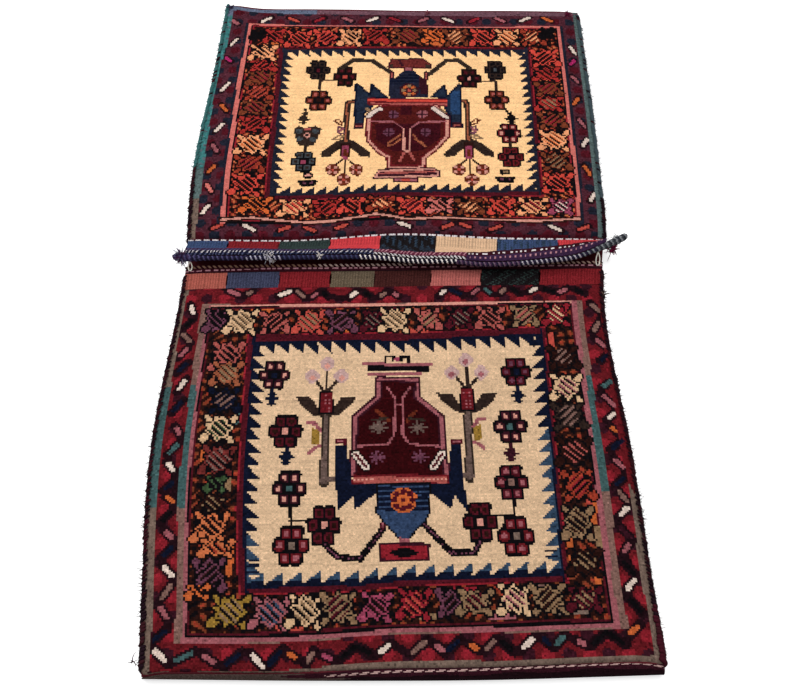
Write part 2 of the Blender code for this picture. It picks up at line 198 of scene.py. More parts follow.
def wool_material(name, colour=None, fibre=0.0012, shade=0.30, height=0.0004, weft=0.0, sheen=0.0):
    """Spun, dyed wool, dull all over: one dye, or where none is given the mesh's own colours.

    Fibres a millimetre or so across lighten and darken it and raise it a little, and where a weft
    is given, ridges of that pitch run across the cloth, with painted shade: the same ridges darken
    its colour in the hollows between them.
    """
    material = bpy.data.materials.new(name)
    material.use_nodes = True
    tree = material.node_tree
    shader = tree.nodes["Principled BSDF"]
    shader.inputs["Roughness"].default_value = 0.95
    shader.inputs["IOR"].default_value = 1.5
    shader.inputs["Specular IOR Level"].default_value = 0.04
    shader.inputs["Sheen Weight"].default_value = sheen
    shader.inputs["Sheen Roughness"].default_value = 0.6
    place = add_node(tree, "ShaderNodeTexCoord", {}).outputs
    if colour is None:
        dye = add_node(tree, "ShaderNodeAttribute", {"attribute_name": "wool"}).outputs["Color"]
    else:
        dye = add_node(tree, "ShaderNodeRGB", {}).outputs["Color"]
        dye.default_value = (*linear(colour), 1)
    fuzz = add_node(
        tree,
        "ShaderNodeTexNoise",
        {"Scale": 1 / fibre, "Detail": 3, "Roughness": 0.65},
        {"Vector": place["Object"]},
    ).outputs["Fac"]
    relief = fuzz
    if weft:
        ridges = add_node(
            tree,
            "ShaderNodeTexWave",
            {"Scale": 0.314 / weft, "Distortion": 1.2, "Detail": 1, "bands_direction": "Y"},
            {"Vector": place["UV"]},
        ).outputs["Fac"]
        relief = add_node(
            tree, "ShaderNodeMath", {"operation": "ADD"}, {0: fuzz, 1: ridges}
        ).outputs["Value"]
    # Painted shade: where a weft is given, its ridges darken the colour in their hollows as well as
    # raising the bump.
    fibre_tone_and_weft_shade = add_node(
        tree,
        "ShaderNodeMapRange",
        {"From Min": 0.3, "From Max": 0.7 + (weft > 0), "To Min": 1 - shade, "To Max": 1 + shade},
        {"Value": relief},
    ).outputs["Result"]
    shaded = add_node(
        tree,
        "ShaderNodeVectorMath",
        {"operation": "MULTIPLY"},
        {0: dye, 1: fibre_tone_and_weft_shade},
    ).outputs["Vector"]
    tree.links.new(shaded, shader.inputs["Base Color"])
    bump = add_node(tree, "ShaderNodeBump", {"Distance": height}, {"Height": relief})
    tree.links.new(bump.outputs["Normal"], shader.inputs["Normal"])
    return material


def woven_panel(name, columns, rows, place, flat, material):
    """Cells laid by place(u, v), u across the cloth and v along it, with real lengths as UVs."""
    weave = bmesh.new()
    bmesh.ops.create_grid(weave, x_segments=columns, y_segments=rows, size=0.5)
    mesh = bpy.data.meshes.new(name)
    weave.to_mesh(mesh)
    weave.free()
    plain = np.empty(len(mesh.vertices) * 3)
    mesh.vertices.foreach_get("co", plain)
    u, v = plain.reshape(-1, 3)[:, :2].T + 0.5
    mesh.vertices.foreach_set("co", np.column_stack(place(u, v)).ravel())
    corners = np.empty(len(mesh.loops), dtype=np.int32)
    mesh.loops.foreach_get("vertex_index", corners)
    lengths = np.column_stack((u[corners] * flat[0], v[corners] * flat[1]))
    mesh.uv_layers.new(name="lengths").uv.foreach_set("vector", lengths.ravel())
    mesh.shade_smooth()
    mesh.materials.append(material)
    panel = bpy.data.objects.new(name, mesh)
    bpy.context.collection.objects.link(panel)
    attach(panel, "root")
    return panel


GROUND_CELL = 0.008
GROUND_FLAT = (0.605, 2.215)
GROUND_CLOTH = 0.0024
WEAVE_DEPTH = 0.0052
HIDDEN_EDGE = 0.0010


def across_width(u, y):
    """The x at a share u of the way from the left side to the right, just inside the lacings."""
    left, right = left_edge(y) + HIDDEN_EDGE, right_edge(y) - HIDDEN_EDGE
    return left + (right - left) * u


def ground_weave_place(u, v):
    """From the foot of the upper pile, round the rear fold, the back and the front fold."""
    x = (u - 0.5) * BAG_WIDTH
    for step in range(2):
        rear_start, rear_radius, ground = turn_of(x, rear_fold, 1)
        front_start, front_radius, ground = turn_of(x, front_fold, -1)
        middle = (lower_pile_end(x) + upper_pile_end(x)) / 2
        rear_end = rear_start + math.pi * rear_radius + rear_start - middle
        front_end = front_start - math.pi * front_radius - (middle - front_start)
        rear_run = upper_pile_end(x) + (rear_end - upper_pile_end(x)) * 2 * v
        front_run = front_end + (lower_pile_end(x) - front_end) * (2 * v - 1)
        sunk = WEAVE_DEPTH * (1 - slack(x, middle) / 2)
        rear_past = np.clip((rear_run - rear_start) / rear_radius / 0.9, 0, 1)
        front_past = np.clip((front_start - front_run) / front_radius / 0.9, 0, 1)
        rear = on_strip(x, rear_run, rear_fold, 1, sunk * (1 - rear_past) ** 2)
        front = on_strip(x, front_run, front_fold, -1, sunk * (1 - front_past) ** 2)
        y, z = np.where(v < 0.5, rear, front)
        x = across_width(u, y)
    return x, y, z


plain_weave = wool_material("plain_maroon_weave", "#5A2028", fibre=0.0016, weft=0.0016)
ground_weave = woven_panel(
    "ground_weave", round(BAG_WIDTH / GROUND_CELL), 2 * round(GROUND_FLAT[1] / GROUND_CELL / 2),
    ground_weave_place, GROUND_FLAT, plain_weave,
)
wall = ground_weave.modifiers.new("cloth", "SOLIDIFY")
wall.thickness = GROUND_CLOTH
wall.offset = -1
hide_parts("woven_strip")


# Knotted pile
# Each face is a field of wool knots about 2.5 mm apart, standing 8 mm tall on the ground weave and
# worn a little lower toward the laced sides. Each knot is one dyed wool, so the pattern has steps.
KNOT = 0.0025
PATTERN_START = 57.45
WOOLS = {
    # The far field's wool is painted lighter than the near one's, partly for its dye and partly as
    # painted light, the sheen of its pile's nap.
    "field_low": "#CDAC8A", "field_high_nap_sheen": "#F0C08A", "vase_low": "#2C0508", "vase_high": "#481412",
    "maroon": "#46101A", "deep_red": "#5C151B", "red": "#7E1C26", "wine": "#30101A",
    "navy": "#0B1022", "slate": "#2C3E52", "blue": "#2C3C58", "teal": "#3A5454",
    "bright_teal": "#366C6C", "dusty_teal": "#4C5A60", "blue_grey": "#5A6276",
    "dark_slate": "#3A3E42", "worn_slate": "#50605F", "worn_plum": "#664650", "plum": "#46202A",
    "grey": "#74564E", "beige": "#6C5A50", "khaki": "#80644A", "olive": "#2E241E",
    "leaf": "#2A1E1A", "stalk": "#5C4A44", "ochre": "#8A6A2C", "bloom": "#B08F8A",
    "green": "#35482E", "black": "#0B080B", "brown": "#240F0C", "rust": "#5A2416",
    "coral": "#A84238", "orange": "#B0562C", "salmon": "#9A4C46", "pink": "#8E5056",
    "rose": "#8A3A50", "mauve": "#5E3444", "cream": "#C4A07C", "white": "#CDB9AC",
    "warm_cream": "#DC9468", "warm_orange": "#C05A2C", "bright_coral": "#BC4034",
    "warm_pink": "#BE665E", "pale_pink": "#C08476", "magenta": "#9A2458", "brick": "#602422",
    "red_leaf": "#8A3222", "rust_leaf": "#6E3420", "orange_leaf": "#B8643E",
    "bright_red": "#9A2A26", "tooth_wool": "#1A1C28", "tan": "#8A4C34", "dome_wool": "#1C1E2E",
    "wing_wool": "#1C2434", "bright_wing_wool": "#223A5C", "vase_deep": "#350A12",
    "kilim_black": "#1C0A10", "kilim_grey": "#4A3C38",
}


class PileFace:
    """The knots of one face, with their places in centimetres, and the wool of each.

    The x is counted from the middle of the bag and the y from the near edge of the pattern.
    """

    def __init__(self, x, y):
        self.x, self.y = x, y
        self.colours = np.zeros((len(x), 3))

    def dye(self, knots, wool):
        self.colours[knots] = linear(WOOLS[wool])

    def inside(self, corners):
        """Knots inside a polygon."""
        found = np.zeros(len(self.x), dtype=bool)
        for (x0, y0), (x1, y1) in zip(corners, corners[1:] + corners[:1]):
            if y0 != y1:
                crossing = x0 + (self.y - y0) * (x1 - x0) / (y1 - y0)
                found ^= ((y0 > self.y) != (y1 > self.y)) & (self.x < crossing)
        return found

    def near(self, points, width):
        """Knots within a band of that width along a line of points."""
        found = np.zeros(len(self.x), dtype=bool)
        for (x0, y0), (x1, y1) in zip(points, points[1:]):
            length = math.hypot(x1 - x0, y1 - y0) or 1e-6
            along = ((self.x - x0) * (x1 - x0) + (self.y - y0) * (y1 - y0)) / length
            away = np.hypot(
                self.x - x0 - (x1 - x0) * np.clip(along / length, 0, 1),
                self.y - y0 - (y1 - y0) * np.clip(along / length, 0, 1),
            )
            found |= away < width / 2
        return found

    def lozenge(self, x, y, wide, tall, fullness=1.25):
        """Knots in a lozenge with its points cut off."""
        across, along = abs(self.x - x) / (wide / 2), abs(self.y - y) / (tall / 2)
        return (across + along < fullness) & (across < 1) & (along < 1)

    def block(self, x0, x1, y0, y1):
        return (self.x > x0) & (self.x < x1) & (self.y > y0) & (self.y < y1)

    def fill(self, corners, wool):
        self.dye(self.inside(corners), wool)

    def stroke(self, points, width, wool):
        self.dye(self.near(points, width), wool)

    def spot(self, x, y, wide, tall, fullness, wool):
        self.dye(self.lozenge(x, y, wide, tall, fullness), wool)

    def patch(self, x0, x1, y0, y1, wool):
        self.dye(self.block(x0, x1, y0, y1), wool)


def across_sides(sides):
    """For each knot the zone it is in, counted inward, the side it is nearest to and its depth.

    A side is its outer line and its inner line, each as (place, position) points, and the shares
    of the way in at which its borders change.
    """
    zones, depths = [], []
    for along, position, outer, inner, shares in sides:
        start = np.interp(along, *np.array(outer).T)
        share = (position - start) / (np.interp(along, *np.array(inner).T) - start)
        zones.append(np.searchsorted(shares, share))
        depths.append(position - np.interp(along, *np.array(inner).T))
    zones = np.array(zones)
    return zones.min(axis=0), zones.argmin(axis=0), np.array(depths)


def teeth(along, depth, pitch, tall, rising):
    """Knots of a row of stepped right-angled triangles on a border's inner line."""
    share = (along / pitch) % 1
    return (depth >= 0) & (depth < tall * (share if rising else 1 - share))


def thicket(face, knots, leaf, tip, fine=1.0):
    """Small tangled leaves in two wools, with dark gaps, that fill a border between its birds."""
    x, y = face.x * fine, face.y * fine
    tangle = np.sin(2.7 * x + 2.2 * np.sin(1.3 * y)) * np.sin(2.5 * y + 2.0 * np.sin(1.1 * x))
    face.dye(knots & (tangle > 0.85 - 0.48 * fine), leaf)
    face.dye(knots & (tangle > 0.97 - 0.2 * fine), tip)
    face.dye(knots & (tangle < -0.50), "black")


def bird(face, x, y, wide, tall, body, hatch, lean=1.0):
    """A stylised bird: a hatched lozenge with a plain head, tail and wings, outlined in black."""
    across = abs(face.x - x + 0.2 * np.sin(face.y * 5.5)) / (wide / 2)
    along = abs(face.y - y + 0.2 * np.sin(face.x * 6)) / (tall / 2)
    limbs = (
        ((0.30, 0.10), (0.54, 0.42), 0.80), ((-0.30, -0.10), (-0.54, -0.40), 1.10),
        ((-0.25, 0.20), (-0.50, 0.46), 0.60), ((0.25, -0.20), (0.46, -0.50), 0.70),
    )
    for grown, wool in ((0.5, "black"), (0, body)):
        for root, tip, width in limbs:
            ends = [(x + i * lean * wide, y + j * tall) for i, j in (root, tip)]
            face.stroke(ends, width + grown, wool)
    for reach, wool in ((1.38, "black"), (1.14, body)):
        face.dye((across + along < reach) & (across < reach * 0.8) & (along < reach * 0.8), wool)
    slant = ((face.x - x) * lean + face.y - y) / 1.05 % 1
    core = (across + along < 0.95) & (across < 0.76) & (along < 0.76)
    face.dye(core & (slant < 0.68), hatch)
    face.dye(core & (slant < 0.36), "black")


def flower(face, x, y, wide, tall, petal, centre, heart="beige", edge="black"):
    """A field flower: six square petals with pale eyes round a pale heart, outlined in the dark."""
    across, up = wide / 3.9, tall / 3.5
    petals = ((-0.62, 1.18), (0.62, 1.18), (-1.32, 0), (1.32, 0), (-0.62, -1.18), (0.62, -1.18))
    spread = [(abs(face.x - x - i * across), abs(face.y - y - j * up)) for i, j in petals]
    for reach, corner, wool in ((0.78, 1.30, edge), (0.50, 0.86, petal), (0.27, 0.42, centre)):
        for dx, dy in spread:
            dx, dy = dx / across, dy / up
            face.dye((dx < reach) & (dy < reach) & (dx + dy < corner), wool)
    dx, dy = abs(face.x - x) / across, abs(face.y - y) / up
    face.dye((dx < 0.66) & (dy < 0.62), edge)
    face.dye((dx < 0.36) & (dy < 0.34), heart)


def finish_wools(face, rng):
    """Differences from knot to knot, most in the dark wools, and slow ones from row to row."""
    spread = 0.24 - 0.19 * np.sqrt(face.colours.max(axis=1))
    each = np.exp(rng.normal(0, 1, len(face.x)) * spread)
    each[(rng.random(len(face.x)) < 0.06) & (face.colours.max(axis=1) < 0.35)] *= 0.6
    rows = np.floor(face.y / (KNOT * 100)).astype(int)
    lots = rng.normal(1, 0.04, rows.max() - rows.min() + 1)[rows - rows.min()]
    wear = 1 + 0.05 * np.sin(face.x * 0.9 + face.y * 0.5) * np.sin(face.y * 0.8 - face.x * 0.3)
    return np.clip(face.colours * (each * lots * wear)[:, None], 0, 1)


def wool_cells(panel, face, rng):
    """Gives each cell of a panel the wool of its knot."""
    colours = np.ones((len(face.x), 4, 4))
    colours[:, :, :3] = finish_wools(face, rng)[:, None]
    wool = panel.data.color_attributes.new("wool", "FLOAT_COLOR", "CORNER")
    wool.data.foreach_set("color", colours.ravel())


def lay_on_weave():
    """Hides the strip's solid, where the panels lie on the ground weave instead."""
    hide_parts("woven_strip")


def pile_panel(name, fold, outward, mouth, fold_end, rows, paint, material, seed):
    """One pile face from its mouth round the start of its fold, standing on the ground weave."""
    rng = np.random.default_rng(seed)
    columns = round(BAG_WIDTH / KNOT)
    plan = {}

    def place(u, v):
        share = v if outward > 0 else 1 - v
        x = (u - 0.5) * BAG_WIDTH
        for step in range(2):
            run = mouth(x) + (fold_end(x) - mouth(x)) * share
            start, radius, ground = turn_of(x, fold, outward)
            past = np.clip((run - start) * outward, 0, radius * 3)
            row_y = np.where(past > 0, start + outward * radius * np.sin(past / radius), run)
            x = across_width(u, row_y)
        edge = np.minimum(np.minimum(u, 1 - u) * columns, np.minimum(v, 1 - v) * rows)
        depth = np.interp(edge, (0, 1, 2, 3), (0.0050, 0.0014, 0.0004, 0))
        depth = depth * (1 - slack(x, row_y) / 3) + rng.normal(0, 0.00022, len(u)) * (edge > 0.5)
        plan["x"], plan["y"] = x * 100, run * 100 + PATTERN_START
        return (x, *on_strip(x, run, fold, outward, depth + 0.0003))

    flat = (BAG_WIDTH, rows * KNOT)
    panel = woven_panel(name, columns, rows, place, flat, material)
    corners = np.empty(len(panel.data.loops), dtype=np.int32)
    panel.data.loops.foreach_get("vertex_index", corners)
    corners = corners.reshape(-1, 4)
    face = PileFace(plan["x"][corners].mean(axis=1), plan["y"][corners].mean(axis=1))
    paint(face)
    wool_cells(panel, face, rng)
    lay_on_weave()


pile_wool = wool_material("knotted_pile_wool", fibre=0.0011, shade=0.30, height=0.0006)


# Lower pile face
# The near pouch: a crenellated outer border on red, a border of stylised birds, a toothed line and
# a pale field with a vase, two flowering stems and rows of field flowers.
LOWER_LEFT = (
    (
        (0, -30.6), (5, -30.8), (10, -31.2), (15, -31.6), (20, -32.1), (25, -32.4), (45, -32),
        (55, -31.3),
    ),
    ((8, -18.2), (15, -19.0), (20, -19.5), (30, -19.8), (45, -20.0)),
    (0.115, 0.33, 0.40, 0.432, 0.447, 0.462, 0.905, 0.922, 1),
)
LOWER_RIGHT = (
    ((0, 30.5), (5, 30.7), (10, 30.2), (20, 30.1), (25, 29.9), (32, 29.5), (45, 29.1), (55, 28.9)),
    ((10, 19.3), (45, 19.3)), (0.12, 0.36, 0.444, 0.51, 0.525, 0.54, 0.925, 0.938, 1),
)
LOWER_FRONT = (
    ((-30, -1.7), (-20, -1.7), (-12, -1.4), (-5, -0.6), (0, -0.3), (13, -0.4), (28, 0.35)),
    ((-18, 9.9), (-5, 10.3), (0, 10.9), (5, 11.1), (19, 11.5)),
    (0.10, 0.385, 0.395, 0.445, 0.475, 0.50, 0.90, 0.915, 1),
)
LOWER_MOUTH = (
    ((-30, 55.0), (30, 55.6)), ((-20, 45.2), (0, 45.3), (19, 46.4)),
    (0.03, 0.34, 0.345, 0.385, 0.40, 0.42, 0.84, 0.86, 1),
)
BORDER_WOOLS = ("beige", "deep_red", "grey", "pink", "black", "maroon", "brown", "red", "maroon")
LOWER_MEANDER = (
    ("white", (-29, 2.3), (-27, 0.5)), ("teal", (-26.4, 0.6), (-24, 1.9)),
    ("pink", (-23.2, 1.6), (-21.4, 0.4)), ("navy", (-20.5, 0.2), (-18.5, 1.8)),
    ("white", (-17.5, 1.7), (-15.8, -0.2)), ("navy", (-15.5, 0.1), (-13.8, 2.2)),
    ("orange", (-13.5, 1.8), (-12, 1)), ("grey", (-11, 0.4), (-10.2, 1.9)),
    ("rose", (-9.4, 1.5), (-7.9, 0.9)), ("black", (-7.2, 0.9), (-5.3, 2.5), (-3.4, 1.5)),
    ("white", (-2.8, 1.6), (-1.2, 2.8)), ("grey", (1, 1.5), (3, 3.3)),
    ("pink", (3.8, 2.8), (5, 1.8)), ("navy", (5, 1.7), (6.8, 3.3)), ("orange", (7.8, 2.8), (9, 2)),
    ("grey", (9.5, 1.9), (11, 3.3)), ("black", (11.3, 3.3), (13, 1.8)),
    ("white", (13.8, 2), (15.5, 3.6)), ("navy", (16.3, 3.6), (17.5, 2.4)),
    ("teal", (17.8, 2.4), (19, 3.9)), ("pink", (20.3, 3.2), (21.5, 2.6)),
    ("black", (22, 2.6), (24, 4.2), (26, 2.7)), ("orange", (26.5, 3.8), (28, 5.2)),
    ("navy", (-27.5, 4.6), (-29.2, 3)), ("pink", (-28.8, 7.5), (-27.5, 5.6)),
    ("grey", (-27.5, 10.2), (-28.8, 8)), ("white", (-29, 12.7), (-27.4, 10.9)),
    ("navy", (-27.8, 15.2), (-29.2, 13.6)), ("pink", (-29.3, 17.2), (-28, 16)),
    ("black", (-28.5, 20), (-29.8, 18.3)), ("orange", (-29.7, 21.9), (-28.3, 20.9)),
    ("navy", (-28.7, 24), (-30, 22.7)), ("white", (-30, 26.8), (-28.8, 25.2)),
    ("teal", (-28.7, 29.5), (-30, 27.8)), ("pink", (-29.5, 32), (-28.6, 30.4)),
    ("navy", (-28.8, 36), (-30.2, 34)), ("white", (-28.8, 39.3), (-29.8, 37.3)),
    ("navy", (-28.8, 42), (-30.2, 40.4)), ("pink", (-29, 44.5), (-30.2, 42.9)),
    ("grey", (-30.2, 47), (-28.8, 45.2)), ("black", (-28.8, 49.3), (-30, 47.8)),
    ("white", (-29.5, 51.8), (-28.8, 49.8)), ("pink", (-24.5, 54.2), (-22.5, 53.2)),
    ("grey", (-21.8, 53.3), (-20.8, 54)), ("white", (-17.3, 53.1), (-15.3, 54.1)),
    ("grey", (-14.8, 54.2), (-13.4, 52.8)), ("pink", (-12.7, 52.8), (-11.5, 53.8)),
    ("black", (-11.2, 54), (-10.2, 53)), ("white", (-7.3, 52.8), (-6, 54.1)),
    ("black", (-5.4, 54), (-4, 53)), ("grey", (-3, 53), (-1.8, 54)),
    ("pink", (-1.2, 53.8), (-0.3, 53.2)), ("white", (5.4, 53.2), (6.5, 54.4)),
    ("navy", (6.8, 54.5), (8.8, 53.3)), ("pink", (10, 53.4), (11.2, 54.6)),
    ("teal", (11.7, 54.7), (12.8, 53.5)), ("grey", (14, 53.5), (15, 54.8)),
    ("black", (15.4, 54.8), (16.8, 53.6)), ("white", (18, 53.8), (19.5, 54.8)),
    ("black", (20, 54.6), (22, 53.8)), ("pink", (22.2, 53.7), (23.7, 54.6)),
    ("black", (24.5, 54.5), (26, 53.6)), ("black", (27, 8.5), (28.5, 6.5)),
    ("white", (26.8, 9.3), (28.2, 11)), ("black", (26.8, 13.3), (28.3, 11.2)),
    ("pink", (27, 14), (28, 15.6)), ("wine", (28.3, 16), (26.8, 18)),
    ("white", (27, 19), (28.5, 20.6)), ("grey", (28.5, 21), (27.2, 22.8)),
    ("navy", (27, 23.2), (28.5, 24.8)), ("pink", (28.6, 25.7), (27.2, 27.3)),
    ("navy", (27, 28.5), (29, 30.3)), ("orange", (28.2, 31), (27.4, 32)),
    ("white", (27, 33), (28.3, 34.3)), ("pink", (28.5, 35), (26.7, 37)),
    ("teal", (26.8, 38), (28.5, 39.3)), ("navy", (27, 42.3), (29, 44)),
    ("pink", (28.3, 44.5), (26.7, 46)), ("grey", (26.5, 47), (27.7, 49)),
    ("grey", (28, 50.5), (26.6, 52)),
)
LOWER_BARS = (
    ("orange", (-20.5, 50.6), (-18, 50.6)), ("coral", (-11.2, 50.2), (-9.2, 50.2)),
    ("orange", (-7.3, 47.2), (-5, 47.2)), ("coral", (0.7, 47.2), (3.5, 47.2)),
    ("coral", (13.5, 50.9), (16, 50.9)), ("orange", (18, 48.2), (20.5, 48.2)),
    ("cream", (-25.0, 36.6), (-25.0, 38)), ("teal", (-21.6, 32.6), (-21.6, 34)),
    ("orange", (-25.5, 27), (-25.5, 29.5)), ("khaki", (-21.9, 22), (-21.9, 25)),
    ("orange", (-20.8, 11.5), (-20.8, 15)), ("maroon", (-19.4, 8), (-16.8, 8)),
    ("coral", (-14.5, 4.8), (-12, 4.8)), ("khaki", (2.3, 6), (4.5, 6)),
    ("red", (6.3, 9.5), (8.6, 9.5)), ("pink", (10.5, 6), (13, 6)), ("grey", (15.5, 9.8), (18, 9.8)),
    ("beige", (18.8, 6.7), (21.8, 6.7)), ("orange", (23.6, 9.3), (23.6, 12)),
    ("orange", (24.0, 18.4), (24.0, 21.4)), ("coral", (23.6, 20.6), (23.6, 22.8)),
    ("orange", (20.6, 13.6), (20.6, 16.4)), ("khaki", (24.2, 14.6), (24.2, 17.4)),
    ("coral", (20.7, 44), (20.7, 46.5)),
)
LOWER_BIRDS = (
    (-25.6, 48.9, 2.6, 3.6, "mauve", "black", 1), (-22.1, 48.8, 3.8, 3.9, "cream", "khaki", 1),
    (-17.4, 48.7, 3.4, 3.4, "salmon", "brown", -1), (-12.7, 48.7, 3.6, 3.8, "coral", "khaki", 1),
    (-8.2, 48.8, 3.4, 3.6, "mauve", "brown", -1), (-3.9, 48.9, 2.4, 3.4, "maroon", "beige", 1),
    (-0.8, 49, 3.5, 3.9, "cream", "khaki", 1), (3.8, 49.2, 2.8, 3.4, "salmon", "khaki", -1),
    (8.3, 49.4, 3.0, 3.4, "maroon", "beige", 1), (12.5, 49.4, 3.2, 3.6, "salmon", "brown", 1),
    (17.2, 49.8, 2.9, 3.4, "khaki", "salmon", -1), (21.7, 50, 2.9, 3.6, "red", "cream", 1),
    (-23.6, 43, 3.6, 4.6, "salmon", "black", 1), (-23.4, 40.2, 3.4, 3.6, "tan", "khaki", 1),
    (-23.4, 36.0, 3.4, 3.6, "navy", "grey", -1), (-23.7, 31.6, 3.6, 3.8, "cream", "green", 1),
    (-23.5, 27.0, 3.6, 4.0, "brick", "grey", 1), (-23.5, 23.6, 1.8, 1.8, "green", "black", 1),
    (-23.6, 20.9, 3.2, 2.6, "brown", "khaki", 1),
    (-23.6, 17.6, 3.6, 4.0, "orange_leaf", "brown", 1),
    (-22.6, 14.8, 3.4, 2.0, "orange_leaf", "red_leaf", 1),
    (-23.2, 11.3, 3.2, 4.2, "mauve", "brown", -1), (-24.3, 9.2, 2.0, 1.4, "orange", "brown", 1),
    (-20.3, 6.8, 3.9, 3.8, "ochre", "khaki", 1), (-15.5, 6.6, 3.9, 3.8, "pink", "slate", 1),
    (-11.4, 6.8, 3.4, 4.0, "cream", "khaki", 1), (-7.5, 7.2, 3.6, 3.8, "khaki", "maroon", -1),
    (-3, 7.3, 3.0, 3.4, "rose", "brown", 1), (1.5, 7.7, 3.2, 3.6, "red", "coral", 1),
    (5.7, 7.9, 2.5, 3.2, "mauve", "brown", -1), (8.8, 7.9, 3.5, 3.0, "khaki", "maroon", 1),
    (13.5, 8.2, 3.2, 3.8, "cream", "pink", 1), (17.5, 8.3, 3.6, 3.6, "khaki", "brown", -1),
    (21.9, 8.3, 3.4, 2.8, "maroon", "khaki", 1), (22.3, 13.0, 3.4, 3.2, "brown", "khaki", 1),
    (21.9, 18.2, 3.2, 4.4, "khaki", "brown", 1), (22.4, 23.4, 3.2, 4.0, "red_leaf", "red", -1),
    (22.3, 28.2, 3.8, 4.0, "brown", "salmon", 1), (22.0, 33.6, 3.6, 4.0, "leaf", "grey", -1),
    (22.1, 38, 3.5, 4.0, "cream", "pink", 1), (22.1, 42.8, 3.4, 3.4, "brown", "grey", -1),
)
LOWER_FLOWERS = (
    (-17.0, 39.9, 3.9, 4.1, "wine", "pale_pink", "navy"),
    (-15.0, 31.2, 4.1, 4.5, "maroon", "brown", "pale_pink"),
    (-14.1, 22.9, 4.0, 4.5, "wine", "pale_pink", "teal"),
    (-9.6, 17.8, 4.0, 4.9, "maroon", "brown", "pale_pink"),
    (-13.5, 15.1, 4.2, 4.8, "deep_red", "pink", "beige"),
    (15.5, 40.4, 3.9, 4.1, "maroon", "mauve", "navy"),
    (14.3, 32.0, 4.1, 4.5, "wine", "pale_pink", "teal"),
    (14.0, 23.8, 4.0, 4.5, "maroon", "pink", "grey"),
    (9.8, 18.3, 4.0, 4.9, "maroon", "brown", "pale_pink"),
    (14.1, 16.4, 4.2, 4.8, "deep_red", "pink", "beige"),
)


def frame_wools(face, sides, wools, grey_teal, patch_wools, leaf_wools, fine, tooth):
    """Borders from the outer edge inward, with the same wool in each border all the way round."""
    zones, side, depths = across_sides(sides)
    for zone, wool in enumerate(wools):
        face.dye(zones == zone, wool)
    patches = np.sin(face.x * 1.35 + 0.6) * np.sin(face.y * 1.35 - 0.4)
    face.dye((zones == 1) & (patches > 0.5), patch_wools[0])
    face.dye((zones == 1) & (patches < -0.5), patch_wools[1])
    thicket(face, zones == 6, *leaf_wools, fine)
    rim = np.take_along_axis(abs(depths), side[None], axis=0)[0] < 0.32
    face.dye((zones == 8) & rim, tooth)
    face.dye(grey_teal & ((zones == 0) | (zones == 2)), "teal")
    return zones, side, depths


def shortened(points, by):
    """The same line of points with both ends drawn in."""
    drawn_in = [np.array(point, dtype=float) for point in points]
    for end, inner in ((0, 1), (-1, -2)):
        way = drawn_in[inner] - drawn_in[end]
        drawn_in[end] = drawn_in[end] + way * min(by / math.hypot(*way), 0.4)
    return drawn_in


def lower_pattern(face):
    face.dye(face.x < 99, "field_low")
    sides = (
        (face.y, face.x, *LOWER_LEFT), (face.y, face.x, *LOWER_RIGHT),
        (face.x, face.y, *LOWER_FRONT), (face.x, face.y, *LOWER_MOUTH),
    )
    left_teal = (face.x < 0) & (face.y > 20.3) & (face.y < 38.3)
    right_teal = (face.x > 24) & (face.x < 26.8) & (face.y > 22.5) & (face.y < 40)
    teal = left_teal | right_teal
    patches, leaves = ("wine", "red"), ("rust_leaf", "red_leaf")
    zones, side, depths = frame_wools(face, sides, BORDER_WOOLS, teal, patches, leaves, 1.0, "navy")
    face.dye((zones == 0) & (side == 1) & (face.y > 23.2 + 0.7 * np.sin(face.x * 4)), "deep_red")
    face.dye((zones == 3) & (side == 3), "pale_pink")
    field = zones == len(BORDER_WOOLS)
    columns = teeth(face.y - 0.3, abs(depths[0]), 1.85, 1.7, False)
    columns |= teeth(face.y - 0.3, abs(depths[1]), 1.85, 1.7, False)
    rows = teeth(face.x + 0.6, abs(depths[2]), 2.28, 1.7, True)
    rows |= teeth(face.x - 0.5, abs(depths[3]), 1.97, 1.9, True)
    face.dye(field & (columns | rows), "navy")
    face.dye(field & (columns | rows) & (face.y < 24 + face.x * 0.4), "slate")
    face.dye(field & rows & (abs(depths[2]) < 0.6) & (face.y < 20), "navy")
    for x, y in ((-17.9, 11.7), (-17.9, 12.5), (-17.9, 13.2), (18.3, 13.8), (18.3, 14.5)):
        face.stroke(((x - 0.6, y), (x + 0.6, y)), 0.32, "navy")
    for (first_wool, *first), (wool, *second) in zip(LOWER_MEANDER, LOWER_MEANDER[1:]):
        if math.dist(first[-1], second[0]) < 3.2:
            face.dye(face.near((first[-1], second[0]), 1.0) & (zones == 1), "kilim_black")
    for wool, *points in LOWER_MEANDER:
        face.dye(face.near(points, 1.3) & (zones == 1), "kilim_black")
    for wool, *points in LOWER_MEANDER:
        face.dye(face.near(shortened(points, 0.42), 0.62) & (zones < 2), wool)
    for wool, *points in LOWER_BARS:
        face.stroke(points, 0.75, wool)
    for motif in LOWER_BIRDS:
        bird(face, *motif)
    for motif in LOWER_FLOWERS:
        flower(face, *motif)
    lower_stems(face)
    lower_vase(face)


def little_tree(face, x, y, wool):
    """A stem crossed by drooping branches, that hangs below a field flower."""
    face.stroke(((x, y + 1.3), (x, y - 0.9)), 0.5, wool)
    for wide, tall, middle in ((1.4, 0.8, 0.55), (2.1, 1.1, -0.05), (1.3, 0.8, -0.85)):
        face.spot(x, y + middle, wide, tall, 1.1, wool)


